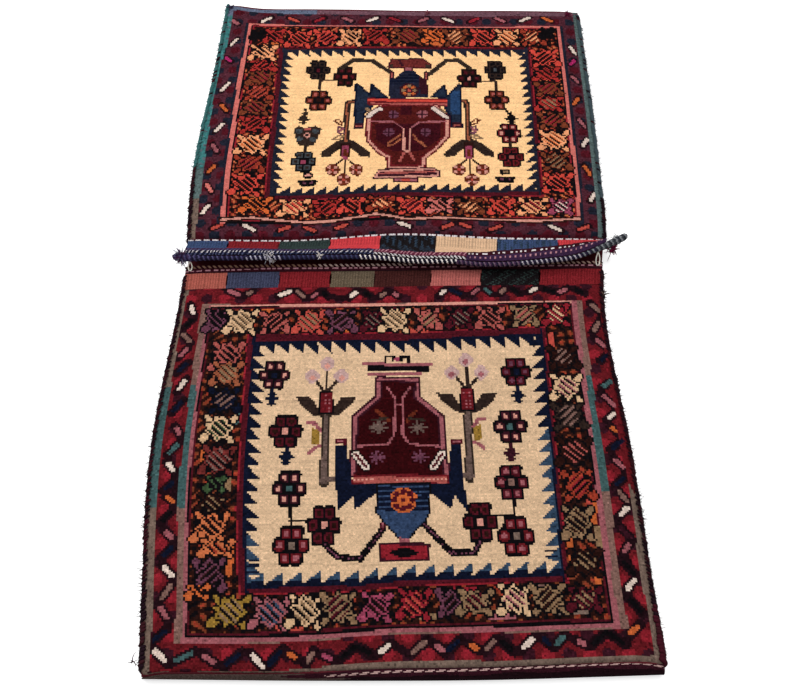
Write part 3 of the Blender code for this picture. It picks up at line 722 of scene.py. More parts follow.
def plant(face, x, y, side, feather):
    """A flowering stem: three pale blooms over a red cup, two dark leaves and a grey stalk."""
    def at(points):
        return [(x + side * dx, y + dy) for dx, dy in points]

    face.stroke(at(((0, 0.3), (-0.1, -9.8))), 1.15, "olive")
    face.stroke(at(((0, 0), (-0.1, -9.6))), 0.65, "stalk")
    face.stroke(at(((0.2, -9.3), (-1.4, -9.2))), 0.7, "stalk")
    face.stroke(at(((2.2, -0.9), (1.3, -1.0), (0.7, -2.0))), 0.55, "pink")
    face.stroke(at(((1.9, -5.3), (1.3, -4.6), (0.7, -4.4))), 0.5, "pink")
    face.fill(at(((1.7, -1.6), (0.6, -2.2), (0.6, -4.2), (1.6, -4.0))), "ochre")
    leaf = ((4.1, 3.1), (2.0, 3.0), (0.75, 0.9), (0.5, 0.0), (1.75, 0.3), (3.4, 1.9))
    for points in (leaf, [(-dx, dy) for dx, dy in leaf]):
        face.fill(at(points), "leaf")
    blooms = at(((0, 8.3), (2.0, 6.3), (-1.95, 6.3)))
    for bloom in blooms:
        face.stroke((at(((0.1, 3.6),))[0], bloom), 0.42, "leaf")
        face.spot(*bloom, 2.0, 2.3, 1.25, "bloom")
        face.spot(bloom[0], bloom[1] - 0.3, 0.9, 1.0, 1.1, feather)
    face.patch(x - 0.95, x + 0.95, y + 0.4, y + 3.9, "black")
    face.patch(x - 0.75, x + 0.75, y + 0.6, y + 3.7, "deep_red")
    dots = (face.x * 2.2 % 1 < 0.4) & (face.y * 1.7 % 1 < 0.4)
    face.dye(face.block(x - 0.7, x + 0.7, y + 0.8, y + 3.5) & dots, "pink")


def lower_stems(face):
    """Stems, little trees, arms and two flowering plants on both sides of the vase."""
    for line in (
        ((-13.9, 20.4), (-13.6, 17.9)), ((-13.8, 18.4), (-11.4, 18.4)), ((14.1, 21.4), (14.1, 19)),
    ):
        face.stroke(line, 0.42, "black")
    face.stroke(((14.0, 19.2), (11.6, 19.2)), 0.42, "black")
    for x, y in ((-17.1, 36.3), (-14.8, 27.5), (15.6, 36.7), (14.1, 28.0)):
        little_tree(face, x, y, "wine" if y < 30 and x > 0 else "navy")
    arms = (
        ((-9.4, 15.3), (-7.8, 13.6), (-5, 13.4), (-2.2, 17.5)),
        ((9.7, 15.8), (8.9, 14.2), (6.1, 14.2), (2.5, 18.3)),
    )
    for arm in arms:
        face.stroke(arm, 0.85, "black")
        beads = face.near(arm, 0.26) & ((face.x + face.y) * 1.6 % 1 < 0.5)
        face.dye(beads, "mauve")
    for x, y in ((-2.2, 17.7), (2.7, 18.4)):
        face.stroke(((x, y), (x, y + 1.0)), 0.75, "maroon")
        face.stroke(((x, y), (x, y + 0.9)), 0.3, "pink")
    plant(face, -9.9, 33.4, -1, "pale_pink")
    plant(face, 8.8, 34.0, 1, "pink")


def star(face, x, y, wool, reach):
    """A small eight-pointed star of thin strokes."""
    for dx, dy in ((1.15, 0), (0, 1.0), (0.8, 0.7), (0.8, -0.7)):
        ends = ((x - dx * reach, y - dy * reach), (x + dx * reach, y + dy * reach))
        face.stroke(ends, 0.3, wool)


def lower_vase(face):
    """The vase in the middle of the field, between dark wings, on a blue funnel and a red foot."""
    for hook in (
        ((-2.1, 41.9), (-2.1, 42.9), (-1.0, 42.9), (-1.0, 42.3)),
        ((1.1, 41.9), (1.1, 42.9), (0, 42.9), (0, 42.3)),
    ):
        face.stroke(hook, 0.4, "black")
    face.spot(-0.5, 42.4, 0.8, 0.9, 1.1, "rose")
    face.patch(-5.3, 4.3, 41.4, 41.9, "pink")
    face.patch(-4.5, 3.9, 40.5, 41.4, "black")
    face.patch(-4.4, 2.9, 39.8, 40.35, "pink")
    body = [
        (-3.0, 39.2), (2.2, 39.2), (2.2, 36.4), (5.3, 33.4), (5.5, 28.0), (5.8, 24.9), (-6.2, 24.9),
    ]
    body += [(-6.1, 28.0), (-6.0, 33.4), (-3.0, 36.4)]
    sides = body[1:6], body[6:] + body[:1], body[:2]
    face.fill(body, "vase_low")
    for line in sides:
        face.stroke(line, 0.95, "wine")
        face.stroke(line, 0.42, "pink")
    seam = ((-1.8, 37.9), (-0.85, 36.3), (-0.85, 30.7), (-1.75, 29.3), (-5.7, 29.0))
    for line in (seam, [(-0.65 - x, y) for x, y in seam], ((-0.85, 35.3), (0.25, 35.3))):
        face.stroke(line, 0.3, "pink")
    for x, side in ((-2.9, -1), (2.2, 1)):
        face.stroke(((x - 0.3, 34.3), (x - side * 1.4, 32.8)), 0.5, "rust")
        face.stroke(((x + 0.9 * side, 32.9), (x - side * 1.2, 33.2)), 0.35, "olive")
        star(face, x, 31.8, "stalk", 0.95)
        star(face, x + 0.2 * side, 27.4, "mauve", 0.85)
    for foot in (((-5.9, 27.9), (-4.5, 26.0)), ((5.3, 27.9), (4.1, 26.0))):
        for width, wool in ((1.25, "black"), (0.9, "white"), (0.36, "maroon")):
            face.stroke(foot, width, wool)
    face.patch(-6.2, 6.0, 23.5, 24.9, "deep_red")
    face.patch(-6.1, 5.9, 23.7, 24.6, "salmon")
    face.dye(face.block(-6.1, 5.9, 24.1, 24.25) & (face.x * 1.8 % 1 < 0.5), "pale_pink")
    left = [
        (-8.5, 29.2), (-7.1, 29.2), (-7.0, 27.6), (-6.4, 26.5), (-6.3, 23.6), (-3.0, 23.6),
        (-3.0, 22.4),
    ]
    left += [(-5.75, 20.0), (-6.0, 22.0), (-7.9, 19.9), (-8.3, 23.6)]
    right = [
        (6.5, 29.5), (7.8, 29.5), (7.95, 23.6), (8.35, 19.5), (6.7, 21.9), (6.25, 20.0),
        (3.8, 22.2),
    ]
    right += [(3.8, 23.6), (6.1, 23.6), (6.2, 27.2)]
    for wing, x in ((left, -7.8), (right, 7.15)):
        face.fill(wing, "navy")
        face.patch(x - 0.75, x + 0.75, 29.3, 30.1, "maroon")
        face.patch(x - 0.5, x + 0.5, 29.6, 29.8, "pink")
    funnel = [
        (-2.9, 23.5), (3.5, 23.5), (3.4, 19.7), (2.8, 18.4), (1.4, 16.8), (1.0, 16.2), (-0.3, 16.2),
    ]
    funnel += [(-0.7, 16.8), (-2.2, 18.4), (-3.0, 19.7)]
    face.stroke(funnel + funnel[:1], 0.45, "black")
    face.fill(funnel, "blue")
    face.dye(face.inside(funnel) & (face.y > 19.8), "navy")
    face.dye(face.inside(funnel) & (face.y > 19.8) & (np.sin(face.y * 9) > 0.5), "blue")
    face.spot(0.25, 21.3, 3.3, 3.5, 1.4, "orange")
    for k in range(8):
        x, y = 0.25 + 1.15 * math.cos(k * math.pi / 4), 21.3 + 1.2 * math.sin(k * math.pi / 4)
        face.spot(x, y, 0.85, 0.85, 1.3, "maroon")
    face.spot(0.25, 21.3, 0.7, 0.7, 1.3, "maroon")
    face.patch(-0.3, 1.0, 15.4, 16.2, "pink")
    face.patch(-2.8, 3.5, 13.1, 15.5, "wine")
    face.patch(-2.5, 3.2, 13.4, 15.2, "red")
    face.spot(0.3, 14.2, 3.4, 1.3, 1.2, "black")


LOWER_ROWS = 224
LOWER_PAST = ((-0.30, 0.012), (-0.10, 0.010), (-0.04, 0.006), (0.0, 0.004), (0.27, 0.0))


def lower_pile_front(x):
    past = np.interp(x, *np.array(LOWER_PAST).T)
    return turn_of(x, front_fold, -1)[0] - past


def lower_pile_mouth(x):
    return lower_pile_end(x) - 0.0015


pile_panel(
    "lower_pile", front_fold, -1, lower_pile_mouth, lower_pile_front, LOWER_ROWS, lower_pattern,
    pile_wool, seed=3,
)


# Flat-woven front
# The near fold is plain cloth past the end of the pile: a line of cream twining, then dark maroon
# wool that goes black toward the floor, and grey-brown where the left corner is worn.
FRONT_KILIM = 0.034
KILIM_CELL = 0.00125


def cell_middles(panel):
    """How far across and along the cloth the middle of each cell of a panel lies."""
    lengths = np.empty(len(panel.data.loops) * 2)
    panel.data.uv_layers["lengths"].uv.foreach_get("vector", lengths)
    return lengths.reshape(-1, 4, 2).mean(axis=1)


def front_kilim_place(u, v):
    """From under the edge of the pile at v = 1 round the fold to near the floor at v = 0."""
    x = (u - 0.5) * BAG_WIDTH
    for step in range(2):
        start, radius, ground = turn_of(x, front_fold, -1)
        run = lower_pile_front(x) + 0.002 - FRONT_KILIM * (1 - v)
        past = np.clip((start - run) / radius / 0.9, 0, 1)
        sunk = WEAVE_DEPTH * (1 - slack(x, start) / 2) * (1 - past) ** 2
        y, z = on_strip(x, run, front_fold, -1, sunk - 0.0010)
        x = across_width(u, y)
    return x, y, np.maximum(z, 0.0003)


front_kilim = woven_panel(
    "front_kilim", round(BAG_WIDTH / KILIM_CELL), round(FRONT_KILIM / KILIM_CELL),
    front_kilim_place, (BAG_WIDTH, FRONT_KILIM),
    wool_material("front_kilim_wool", weft=0.0015, shade=0.45, height=0.0004),
)
front_face = PileFace(*(cell_middles(front_kilim).T * 100))
down = FRONT_KILIM * 100 - front_face.y
front_face.dye(down >= 0, "wine")
front_face.dye(down > 0.9 + 0.15 * np.sin(front_face.x * 0.7), "kilim_black")
worn = front_face.x + 4 * np.sin(down * 5) < 20
front_face.dye(worn & (down < 1.5), "kilim_grey")
twining = (front_face.x / 1.25 + down * 2.2) % 1 < 0.62
front_face.dye((down > 0.25) & (down < 0.45) & twining & (front_face.x > 21), "bloom")
wool_cells(front_kilim, front_face, np.random.default_rng(7))
lay_on_weave()


# Upper pile face
# The far pouch repeats the design turned end for end, with brighter, warmer wools in its borders.
# Its field is painted lighter than the near one's, partly for its dye and partly as painted light,
# the sheen of its pile's nap.
UPPER_LEFT = (
    ((65, -31.6), (80, -31.6), (90, -31.5), (95, -31.3), (100, -31.0), (105, -30.2), (114, -29.7)),
    ((72, -19.3), (100, -19.0)), (0.125, 0.37, 0.405, 0.46, 0.48, 0.495, 0.905, 0.92, 1),
)
UPPER_RIGHT = (
    ((65, 30.2), (70, 30.5), (75, 30.8), (114, 30.8)), ((72, 20.8), (104, 20.8)),
    (0.13, 0.33, 0.375, 0.43, 0.445, 0.46, 0.915, 0.93, 1),
)
UPPER_MOUTH = (
    ((-30, 63.6), (-16, 63.5), (0, 64.6), (15, 64), (27, 63.7)),
    ((-19, 72.3), (-15, 72.2), (0, 73.0), (20, 72.9)),
    (0.05, 0.33, 0.33, 0.33, 0.39, 0.41, 0.86, 0.88, 1),
)
UPPER_REAR = (
    ((-30, 115.4), (-22, 114.4), (-15, 114.1), (0, 113.7), (15, 113.3), (30, 113.4)),
    ((-19, 103.8), (20, 103.8)), (0.12, 0.385, 0.385, 0.42, 0.435, 0.45, 0.915, 0.93, 1),
)
UPPER_WOOLS = ("worn_slate", "plum", "wine", "warm_pink", "black", "red", "brown", "red", "maroon")
UPPER_MEANDER = (
    ("white", -28.4, 86.2, 0.6, 0.9), ("pink", -28.7, 81.7, -0.5, 0.9),
    ("orange", -28.8, 77.3, 0.5, 0.8), ("warm_pink", -28.8, 73.4, -0.5, 0.8),
    ("white", -29, 69.3, 0.5, 0.9), ("orange", -28, 90.5, -0.5, 0.8),
    ("white", -28.2, 95.3, 0.6, 0.9), ("magenta", -28.2, 101.7, -0.5, 0.6),
    ("white", -27.6, 106, 0.5, 0.8), ("pink", -27.8, 110.9, -0.6, 0.6),
    ("white", -22.5, 111.5, 0.9, 0.6), ("coral", -18, 111.5, -0.9, 0.5),
    ("red", -13.5, 111.5, 0.9, 0.5), ("pink", -8.8, 111.5, -0.8, 0.5),
    ("white", -4.5, 111.5, 0.9, 0.5), ("red", -0.8, 111.5, -0.9, 0.5), ("pink", 4, 111.4, 0.8, 0.5),
    ("white", 8.3, 111.3, -0.9, 0.5), ("red", 12.6, 111.3, 0.9, 0.5),
    ("pink", 17, 111.3, -0.8, 0.5), ("white", 21.2, 111.4, 0.9, 0.5),
    ("orange", 25, 111.4, -0.8, 0.5), ("coral", -27, 65.9, 0.8, 0.4),
    ("white", -22.3, 65.7, 0.9, -0.6), ("coral", -17, 65.5, 0.8, 0.4),
    ("coral", -13.3, 65.4, 0.8, -0.4), ("coral", -8.7, 65.9, 0.8, 0.4),
    ("white", 0.6, 66.2, 0.9, -0.4), ("coral", 7, 66, 0.8, 0.4), ("coral", 9.5, 66.1, 0.8, -0.4),
    ("coral", 14, 65.6, 0.9, 0.4), ("white", 22.8, 65.5, 0.9, -0.5), ("coral", 27, 65.6, 0.8, 0.4),
    ("white", 28.9, 71.7, 0.5, 0.9), ("orange", 28.6, 77.2, -0.4, 1.0),
    ("white", 28.8, 83, 0.5, 0.9), ("pink", 28.7, 87.2, -0.5, 0.9), ("orange", 28.2, 92, 0.5, 0.8),
    ("pink", 28.5, 97, -0.5, 0.8), ("magenta", 28.4, 101, 0.4, 0.6),
    ("white", 28.7, 104, -0.4, 0.9),
)
UPPER_BARS = (
    ("orange", (-21, 105.5), (-18.3, 105.5)), ("orange", (-3, 105.6), (0, 105.6)),
    ("orange", (5.5, 105.5), (8.2, 105.5)), ("bright_coral", (19.3, 108.6), (21.5, 108.6)),
    ("coral", (16, 70.9), (18.6, 70.9)), ("coral", (11.6, 68.5), (14, 68.5)),
)
UPPER_BIRDS = (
    (-16.8, 106.7, 3.6, 4.0, "bright_coral", "brown", 1),
    (-12.2, 107, 3.6, 3.8, "bright_coral", "maroon", -1),
    (-8.2, 107, 3.2, 3.8, "warm_cream", "brown", 1),
    (-4, 107.2, 3.4, 3.6, "bright_red", "brown", -1), (1.4, 107.3, 4.0, 3.6, "rust_leaf", "red", 1),
    (5.8, 107.4, 3.2, 3.0, "warm_orange", "brown", 1),
    (9.4, 107, 3.4, 3.8, "rust_leaf", "warm_cream", -1),
    (14, 107, 3.6, 3.8, "bright_coral", "brown", 1),
    (18, 107, 3.4, 3.6, "warm_cream", "warm_orange", 1),
    (22.3, 107, 3.2, 3.6, "red_leaf", "warm_cream", -1), (24.7, 108, 1.6, 2.0, "black", "black", 1),
    (-23.8, 107.6, 1.5, 1.6, "black", "black", 1),
    (-20.9, 107.4, 2.6, 3.0, "bright_red", "brown", 1),
    (-21.5, 70.2, 3.8, 2.8, "warm_orange", "brown", 1),
    (-15.8, 69.6, 3.8, 3.0, "warm_cream", "bright_coral", 1),
    (-11, 69.6, 3.4, 2.8, "bright_red", "brown", -1),
    (-7.3, 70, 3.2, 2.8, "bright_coral", "brown", 1),
    (-2.8, 70.4, 3.4, 2.6, "red_leaf", "warm_cream", 1),
    (1.8, 70, 3.6, 3.0, "bright_coral", "maroon", -1), (6, 70, 3.2, 2.6, "warm_pink", "brown", 1),
    (10.3, 69.9, 3.4, 2.8, "rust_leaf", "warm_cream", -1),
    (15.2, 69.8, 3.2, 2.8, "bright_coral", "brown", 1),
    (19.8, 69.7, 3.6, 3.0, "warm_cream", "red", 1), (24, 69.7, 2.8, 2.8, "rose", "white", 1),
    (-23.3, 74.2, 4.0, 4.2, "bright_coral", "brown", 1),
    (-23.2, 78.4, 3.8, 3.4, "red_leaf", "red", -1),
    (-23, 82.5, 4.2, 4.0, "warm_cream", "warm_orange", 1),
    (-23, 87, 3.8, 3.6, "bright_red", "brown", -1), (-23, 90.6, 3.8, 3.0, "rust_leaf", "red", 1),
    (-22.8, 94, 3.8, 3.0, "red_leaf", "coral", -1), (-22.6, 97.3, 3.8, 3.0, "rust_leaf", "red", 1),
    (-22.4, 100.2, 3.6, 2.4, "bright_red", "brown", -1),
    (-22.5, 103.3, 3.8, 3.4, "warm_cream", "brown", 1),
    (24, 74.5, 3.8, 4.0, "bright_coral", "brown", 1), (24, 79, 3.6, 3.4, "rust_leaf", "khaki", -1),
    (24, 83.4, 4.0, 4.0, "warm_cream", "warm_orange", 1),
    (24, 87.8, 3.6, 3.2, "rust_leaf", "red", -1), (23.9, 91.4, 3.6, 3.0, "bright_red", "khaki", 1),
    (23.9, 94.8, 3.6, 3.0, "rust_leaf", "red", -1),
    (23.9, 98.2, 3.6, 3.0, "bright_red", "brown", 1),
    (24, 102, 3.8, 3.8, "bright_coral", "brown", -1),
)
UPPER_FLOWERS = (
    (-13.3, 99.1, 3.7, 4.0, "leaf", "black", "maroon"),
    (-8.9, 97.6, 3.6, 4.1, "brown", "maroon", "coral"),
    (-13.0, 92.1, 3.9, 4.1, "rust", "salmon", "brown"),
    (-14.8, 78.8, 3.7, 3.8, "dark_slate", "leaf", "rose"),
    (15.6, 99.2, 3.4, 4.0, "leaf", "black", "dark_slate"),
    (11.3, 97.2, 3.6, 4.1, "brown", "maroon", "pale_pink"),
    (15.5, 92.2, 3.6, 4.1, "rust", "salmon", "brown"),
    (17.1, 84.8, 3.7, 3.8, "deep_red", "pale_pink", "black"),
    (17.1, 79.8, 3.9, 3.8, "deep_red", "brown", "salmon"),
)


def upper_plant(face, x, y, side):
    """A plant hung from the vase's side: a stalk, buds, two drooping leaves and three blooms."""
    def at(*points):
        return [(x + side * dx, y + dy) for dx, dy in points]

    stalk = at((1.1, 8.9), (0.2, 8.8), (0.0, 8.0), (0.0, 0.0))
    face.stroke(stalk, 0.95, "leaf")
    face.stroke(stalk, 0.28, "tan")
    for line, wool in (
        (at((-0.7, 4.0), (-1.2, 4.8), (-1.9, 4.5), (-1.3, 3.8), (-0.7, 3.6)), "rust"),
        (at((-0.4, 2.9), (-1.2, 3.2), (-1.4, 2.3), (-0.9, 1.6), (-0.4, 1.9)), "mauve"),
        (at((-0.4, 1.3), (-1.4, 1.2), (-2.1, 0.5), (-1.1, 0.5), (-0.5, 1.0)), "khaki"),
    ):
        face.stroke(line, 0.34, wool)
    face.stroke(at((-0.7, 2.6), (-1.0, 2.2)), 0.5, "pink")
    leaf = (
        (0.2, 0.5), (1.2, 0.2), (2.8, -1.2), (3.9, -2.5), (3.8, -3.3), (2.3, -3.1), (1.4, -2.1),
        (0.4, -0.9),
    )
    face.dye(face.inside(at(*leaf)) | face.inside(at(*[(-dx, dy) for dx, dy in leaf])), "leaf")
    for tip in ((-1.8, -5.2), (0, -7.0), (1.7, -5.2)):
        face.stroke(at((tip[0] * 0.3, -3.9), tip), 0.34, "brown")
    face.patch(x - 0.75, x + 0.75, y - 3.4, y - 0.3, "brown")
    face.patch(x - 0.5, x + 0.5, y - 3.8, y - 0.9, "rose")
    face.patch(x - 0.3, x + 0.3, y - 3.2, y - 1.6, "rust")
    for bx, by in at((-1.9, -5.9), (1.7, -5.9), (-0.2, -7.9)):
        face.spot(bx, by, 2.2, 2.4, 1.3, "rust")
        for dx, dy in ((-0.5, 0.5), (0.5, 0.5), (-0.5, -0.5), (0.5, -0.5)):
            face.spot(bx + dx, by + dy, 0.6, 0.6, 1.3, "pale_pink")
        face.spot(bx, by, 0.5, 0.5, 1.3, "coral")


def upper_stems(face):
    """Stems, little trees and a cup among the flowers on both sides of the vase."""
    for line in (
        ((-12.9, 94.2), (-12.9, 97.0)), ((-12.9, 96.7), (-10.6, 96.8)),
        ((-15.0, 90.2), (-14.8, 89.0)), ((-14.7, 82.0), (-14.7, 80.8)),
        ((15.5, 94.4), (15.5, 97.1)), ((15.5, 96.6), (13.1, 96.5)), ((16.6, 90.6), (17.2, 89.0)),
        ((17.1, 83.0), (17.1, 81.6)),
    ):
        face.stroke(line, 0.42, "leaf")
    little_tree(face, -15.2, 87.9, "leaf")
    little_tree(face, 17.6, 88.0, "black")
    cup = [(-16.6, 85.9), (-15.9, 86.4), (-14.9, 86.0), (-13.3, 86.4), (-12.2, 85.8), (-12.8, 83.7)]
    cup += [(-13.4, 82.3), (-14.4, 81.9), (-15.8, 82.3), (-16.4, 84.1)]
    face.fill(cup, "leaf")
    for x, y in ((-15.8, 85.3), (-13.2, 85.3), (-15.7, 83.6), (-13.6, 83.5)):
        face.spot(x, y, 1.1, 1.0, 1.3, "dark_slate")
    face.patch(-15.1, -13.9, 85.4, 86.0, "salmon")
    face.spot(-14.5, 84.4, 1.2, 1.2, 1.3, "pale_pink")
    face.spot(-14.5, 84.4, 0.5, 0.5, 1.3, "black")
    for x, y, eye in ((-14.0, 76.0, "pale_pink"), (16.0, 76.7, "khaki")):
        face.spot(x, y, 1.7, 1.2, 1.5, "black")
        face.spot(x, y, 0.8, 0.5, 1.5, eye)
        face.fill(
            [(x - 1.6, y - 1.0), (x + 1.6, y - 1.0), (x + 1.1, y - 2.2), (x - 1.1, y - 2.2)],
            "black",
        )
        for dx in (-0.6, 0.6):
            face.spot(x + dx, y - 1.5, 0.5, 0.5, 1.3, "mauve")


def rosette(face, x, y, wide, wool):
    """A small flower of four petals parted by a dark cross."""
    face.spot(x, y, wide, wide, 1.4, wool)
    cross = face.block(x - wide, x + wide, y - 0.13, y + 0.13)
    cross |= face.block(x - 0.13, x + 0.13, y - wide, y + wide)
    face.dye(cross & face.lozenge(x, y, wide, wide, 1.4), "wine")


def upper_vase(face):
    """The vase of the far face, its foot toward the mouth, between blue wings, under a dome."""
    top = [
        (-1.8, 99.8), (-1.3, 101.6), (1.1, 101.4), (1.5, 101.6), (3.8, 101.6), (5.0, 100.5),
        (4.9, 99.6),
    ]
    top += [(2.3, 99.8)]
    face.stroke(top + top[:1], 0.5, "wine")
    face.fill(top, "brick")
    face.stroke(((0.0, 101.3), (0.4, 100.2)), 0.4, "wine")
    face.dye(face.block(-1.7, -1.0, 99.8, 100.4) | face.block(4.2, 4.9, 99.7, 100.3), "olive")
    face.patch(0.7, 2.3, 98.8, 99.7, "maroon")
    face.patch(1.0, 1.9, 98.9, 99.6, "pink")
    for arm in (
        ((-1.3, 98.4), (-4.5, 101.3), (-7.5, 101.5), (-9.6, 99.5)),
        ((4.4, 98.1), (5.0, 98.3), (7.7, 101.4), (9.6, 101.5), (11.4, 99.7)),
    ):
        face.stroke(arm, 0.85, "olive")
    for x in (-1.3, 4.35):
        face.stroke(((x, 98.4), (x, 97.1)), 0.8, "wine")
        face.stroke(((x, 98.3), (x, 97.2)), 0.35, "salmon")
    dome = [
        (-1.7, 92.7), (-1.7, 97.1), (-0.6, 97.4), (0.1, 98.3), (0.6, 98.9), (2.4, 98.9),
        (3.0, 98.0),
    ]
    dome += [(3.8, 97.2), (4.5, 97.0), (4.5, 92.7)]
    face.fill(dome, "dome_wool")
    face.dye(face.inside(dome) & (face.y > 95.9) & (np.sin(face.y * 9) > -0.2), "navy")
    face.dye(face.inside(dome) & (face.x > 3.2) & (face.y > 93.4), "wine")
    face.spot(1.5, 94.4, 3.0, 3.2, 1.4, "wine")
    for k in range(8):
        x, y = 1.5 + 0.95 * math.cos(k * math.pi / 4), 94.4 + 1.0 * math.sin(k * math.pi / 4)
        face.spot(x, y, 0.7, 0.7, 1.3, "orange" if k % 2 else "khaki")
    face.spot(1.5, 94.4, 0.6, 0.6, 1.3, "coral")
    left = [
        (-6.9, 96.0), (-4.7, 93.4), (-4.5, 95.9), (-3.3, 94.3), (-1.9, 92.8), (-4.4, 92.8),
        (-4.4, 90.7),
    ]
    left += [(-5.8, 89.0), (-5.8, 86.0), (-7.1, 86.0), (-7.1, 95.7)]
    right = [
        (9.6, 95.8), (7.6, 93.0), (7.2, 95.6), (5.0, 92.8), (7.2, 92.7), (7.3, 90.0), (8.1, 88.4),
    ]
    right += [(8.2, 86.0), (9.7, 86.0), (9.8, 95.7)]
    for wing, x, fibre_tone_and_weft_shade in ((left, -6.45, "wing_wool"), (right, 8.95, "bright_wing_wool")):
        face.fill(wing, "wing_wool")
        face.dye(
            face.inside(wing) & (face.y < 94.3) & (face.y > 88.8) & (abs(face.x - x) < 0.8), fibre_tone_and_weft_shade,
        )
        face.stroke(wing + wing[:1], 0.34, "navy")
        face.patch(x - 0.75, x + 0.75, 85.9, 87.1, "wine")
        face.patch(x - 0.45, x + 0.45, 86.3, 86.6, "salmon")
    face.fill([(-5.1, 92.7), (7.6, 92.4), (7.6, 90.7), (-5.1, 91.0)], "deep_red")
    face.stroke(((-4.9, 92.3), (7.3, 91.9)), 0.5, "bright_coral")
    face.stroke(((-4.6, 91.5), (7.3, 91.2)), 0.4, "salmon")
    body = [
        (-3.0, 90.8), (5.7, 90.8), (7.4, 88.4), (7.4, 84.2), (5.6, 81.7), (3.6, 79.6), (3.5, 77.7),
        (-1.7, 77.7),
    ]
    body += [(-1.7, 79.7), (-3.3, 81.0), (-4.9, 83.3), (-4.9, 88.6)]
    face.fill(body, "vase_high")
    face.stroke(body[1:] + body[:1], 1.0, "deep_red")
    face.stroke(body[1:] + body[:1], 0.4, "pale_pink")
    shade = [(-3.8, 86.9), (6.3, 86.9), (6.4, 83.9), (3.4, 81.1), (-1.3, 81.1), (-3.8, 83.7)]
    face.dye(face.inside(shade) | face.block(0.1, 1.9, 88.8, 90.8), "vase_deep")
    for points in (
        ((-3.1, 90.2), (-3.7, 90.0), (-5.0, 88.6)), ((5.4, 90.3), (6.0, 89.6), (7.5, 88.2)),
    ):
        face.stroke(points, 1.1, "wine")
        face.stroke(points, 0.7, "white")
    face.dye(
        face.near(((-5.4, 90.4), (-4.7, 89.7)), 0.4) | face.near(((6.4, 90.1), (7.2, 89.4)), 0.4),
        "khaki",
    )
    for x, y, wool in (
        (-1.0, 89.0, "mauve"), (3.6, 89.0, "pink"), (-1.7, 85.1, "mauve"), (4.0, 85.1, "mauve"),
    ):
        rosette(face, x, y, 1.7, wool)
    for line in (
        ((-4.6, 87.4), (-1.0, 87.4), (0.6, 85.8), (0.6, 81.3), (1.0, 80.9)),
        ((7.2, 87.3), (3.2, 87.3), (1.6, 85.8), (1.5, 81.3), (1.1, 80.9)),
    ):
        face.stroke(line, 0.32, "pink")
        face.stroke(line[2:], 0.36, "pale_pink")
    for line in (
        ((0.1, 84.6), (-1.7, 82.9), (-2.0, 82.2), (-1.1, 82.3), (0.2, 83.7)),
        ((2.1, 84.6), (2.9, 83.0), (4.1, 82.0), (3.3, 82.9), (2.3, 83.6)),
    ):
        face.stroke(line, 0.3, "tan")
    face.dye(
        face.near(((0.6, 80.7), (0.0, 79.0)), 0.4) | face.near(((1.5, 80.7), (2.2, 79.1)), 0.4),
        "salmon",
    )
    foot = [(-3.1, 77.2), (5.2, 77.6), (6.0, 76.9), (6.0, 75.8), (-4.0, 75.4)]
    face.dye(face.inside(foot) | face.near(foot + foot[:1], 0.3), "wine")
    for line in (
        ((-3.7, 75.6), (5.7, 76.0)), ((-3.1, 76.9), (5.2, 77.4)), ((-3.8, 75.7), (-3.1, 76.9)),
    ):
        face.stroke(line, 0.34, "pale_pink")
    face.stroke(((-3.1, 76.4), (5.4, 76.9)), 0.4, "salmon")
    face.stroke(((5.8, 76.0), (5.6, 76.9)), 0.3, "pale_pink")
    face.patch(-1.0, 2.8, 74.6, 75.5, "wine")
    face.patch(-0.8, 2.6, 74.8, 75.4, "pink")
    face.patch(0.2, 1.6, 74.8, 75.4, "coral")


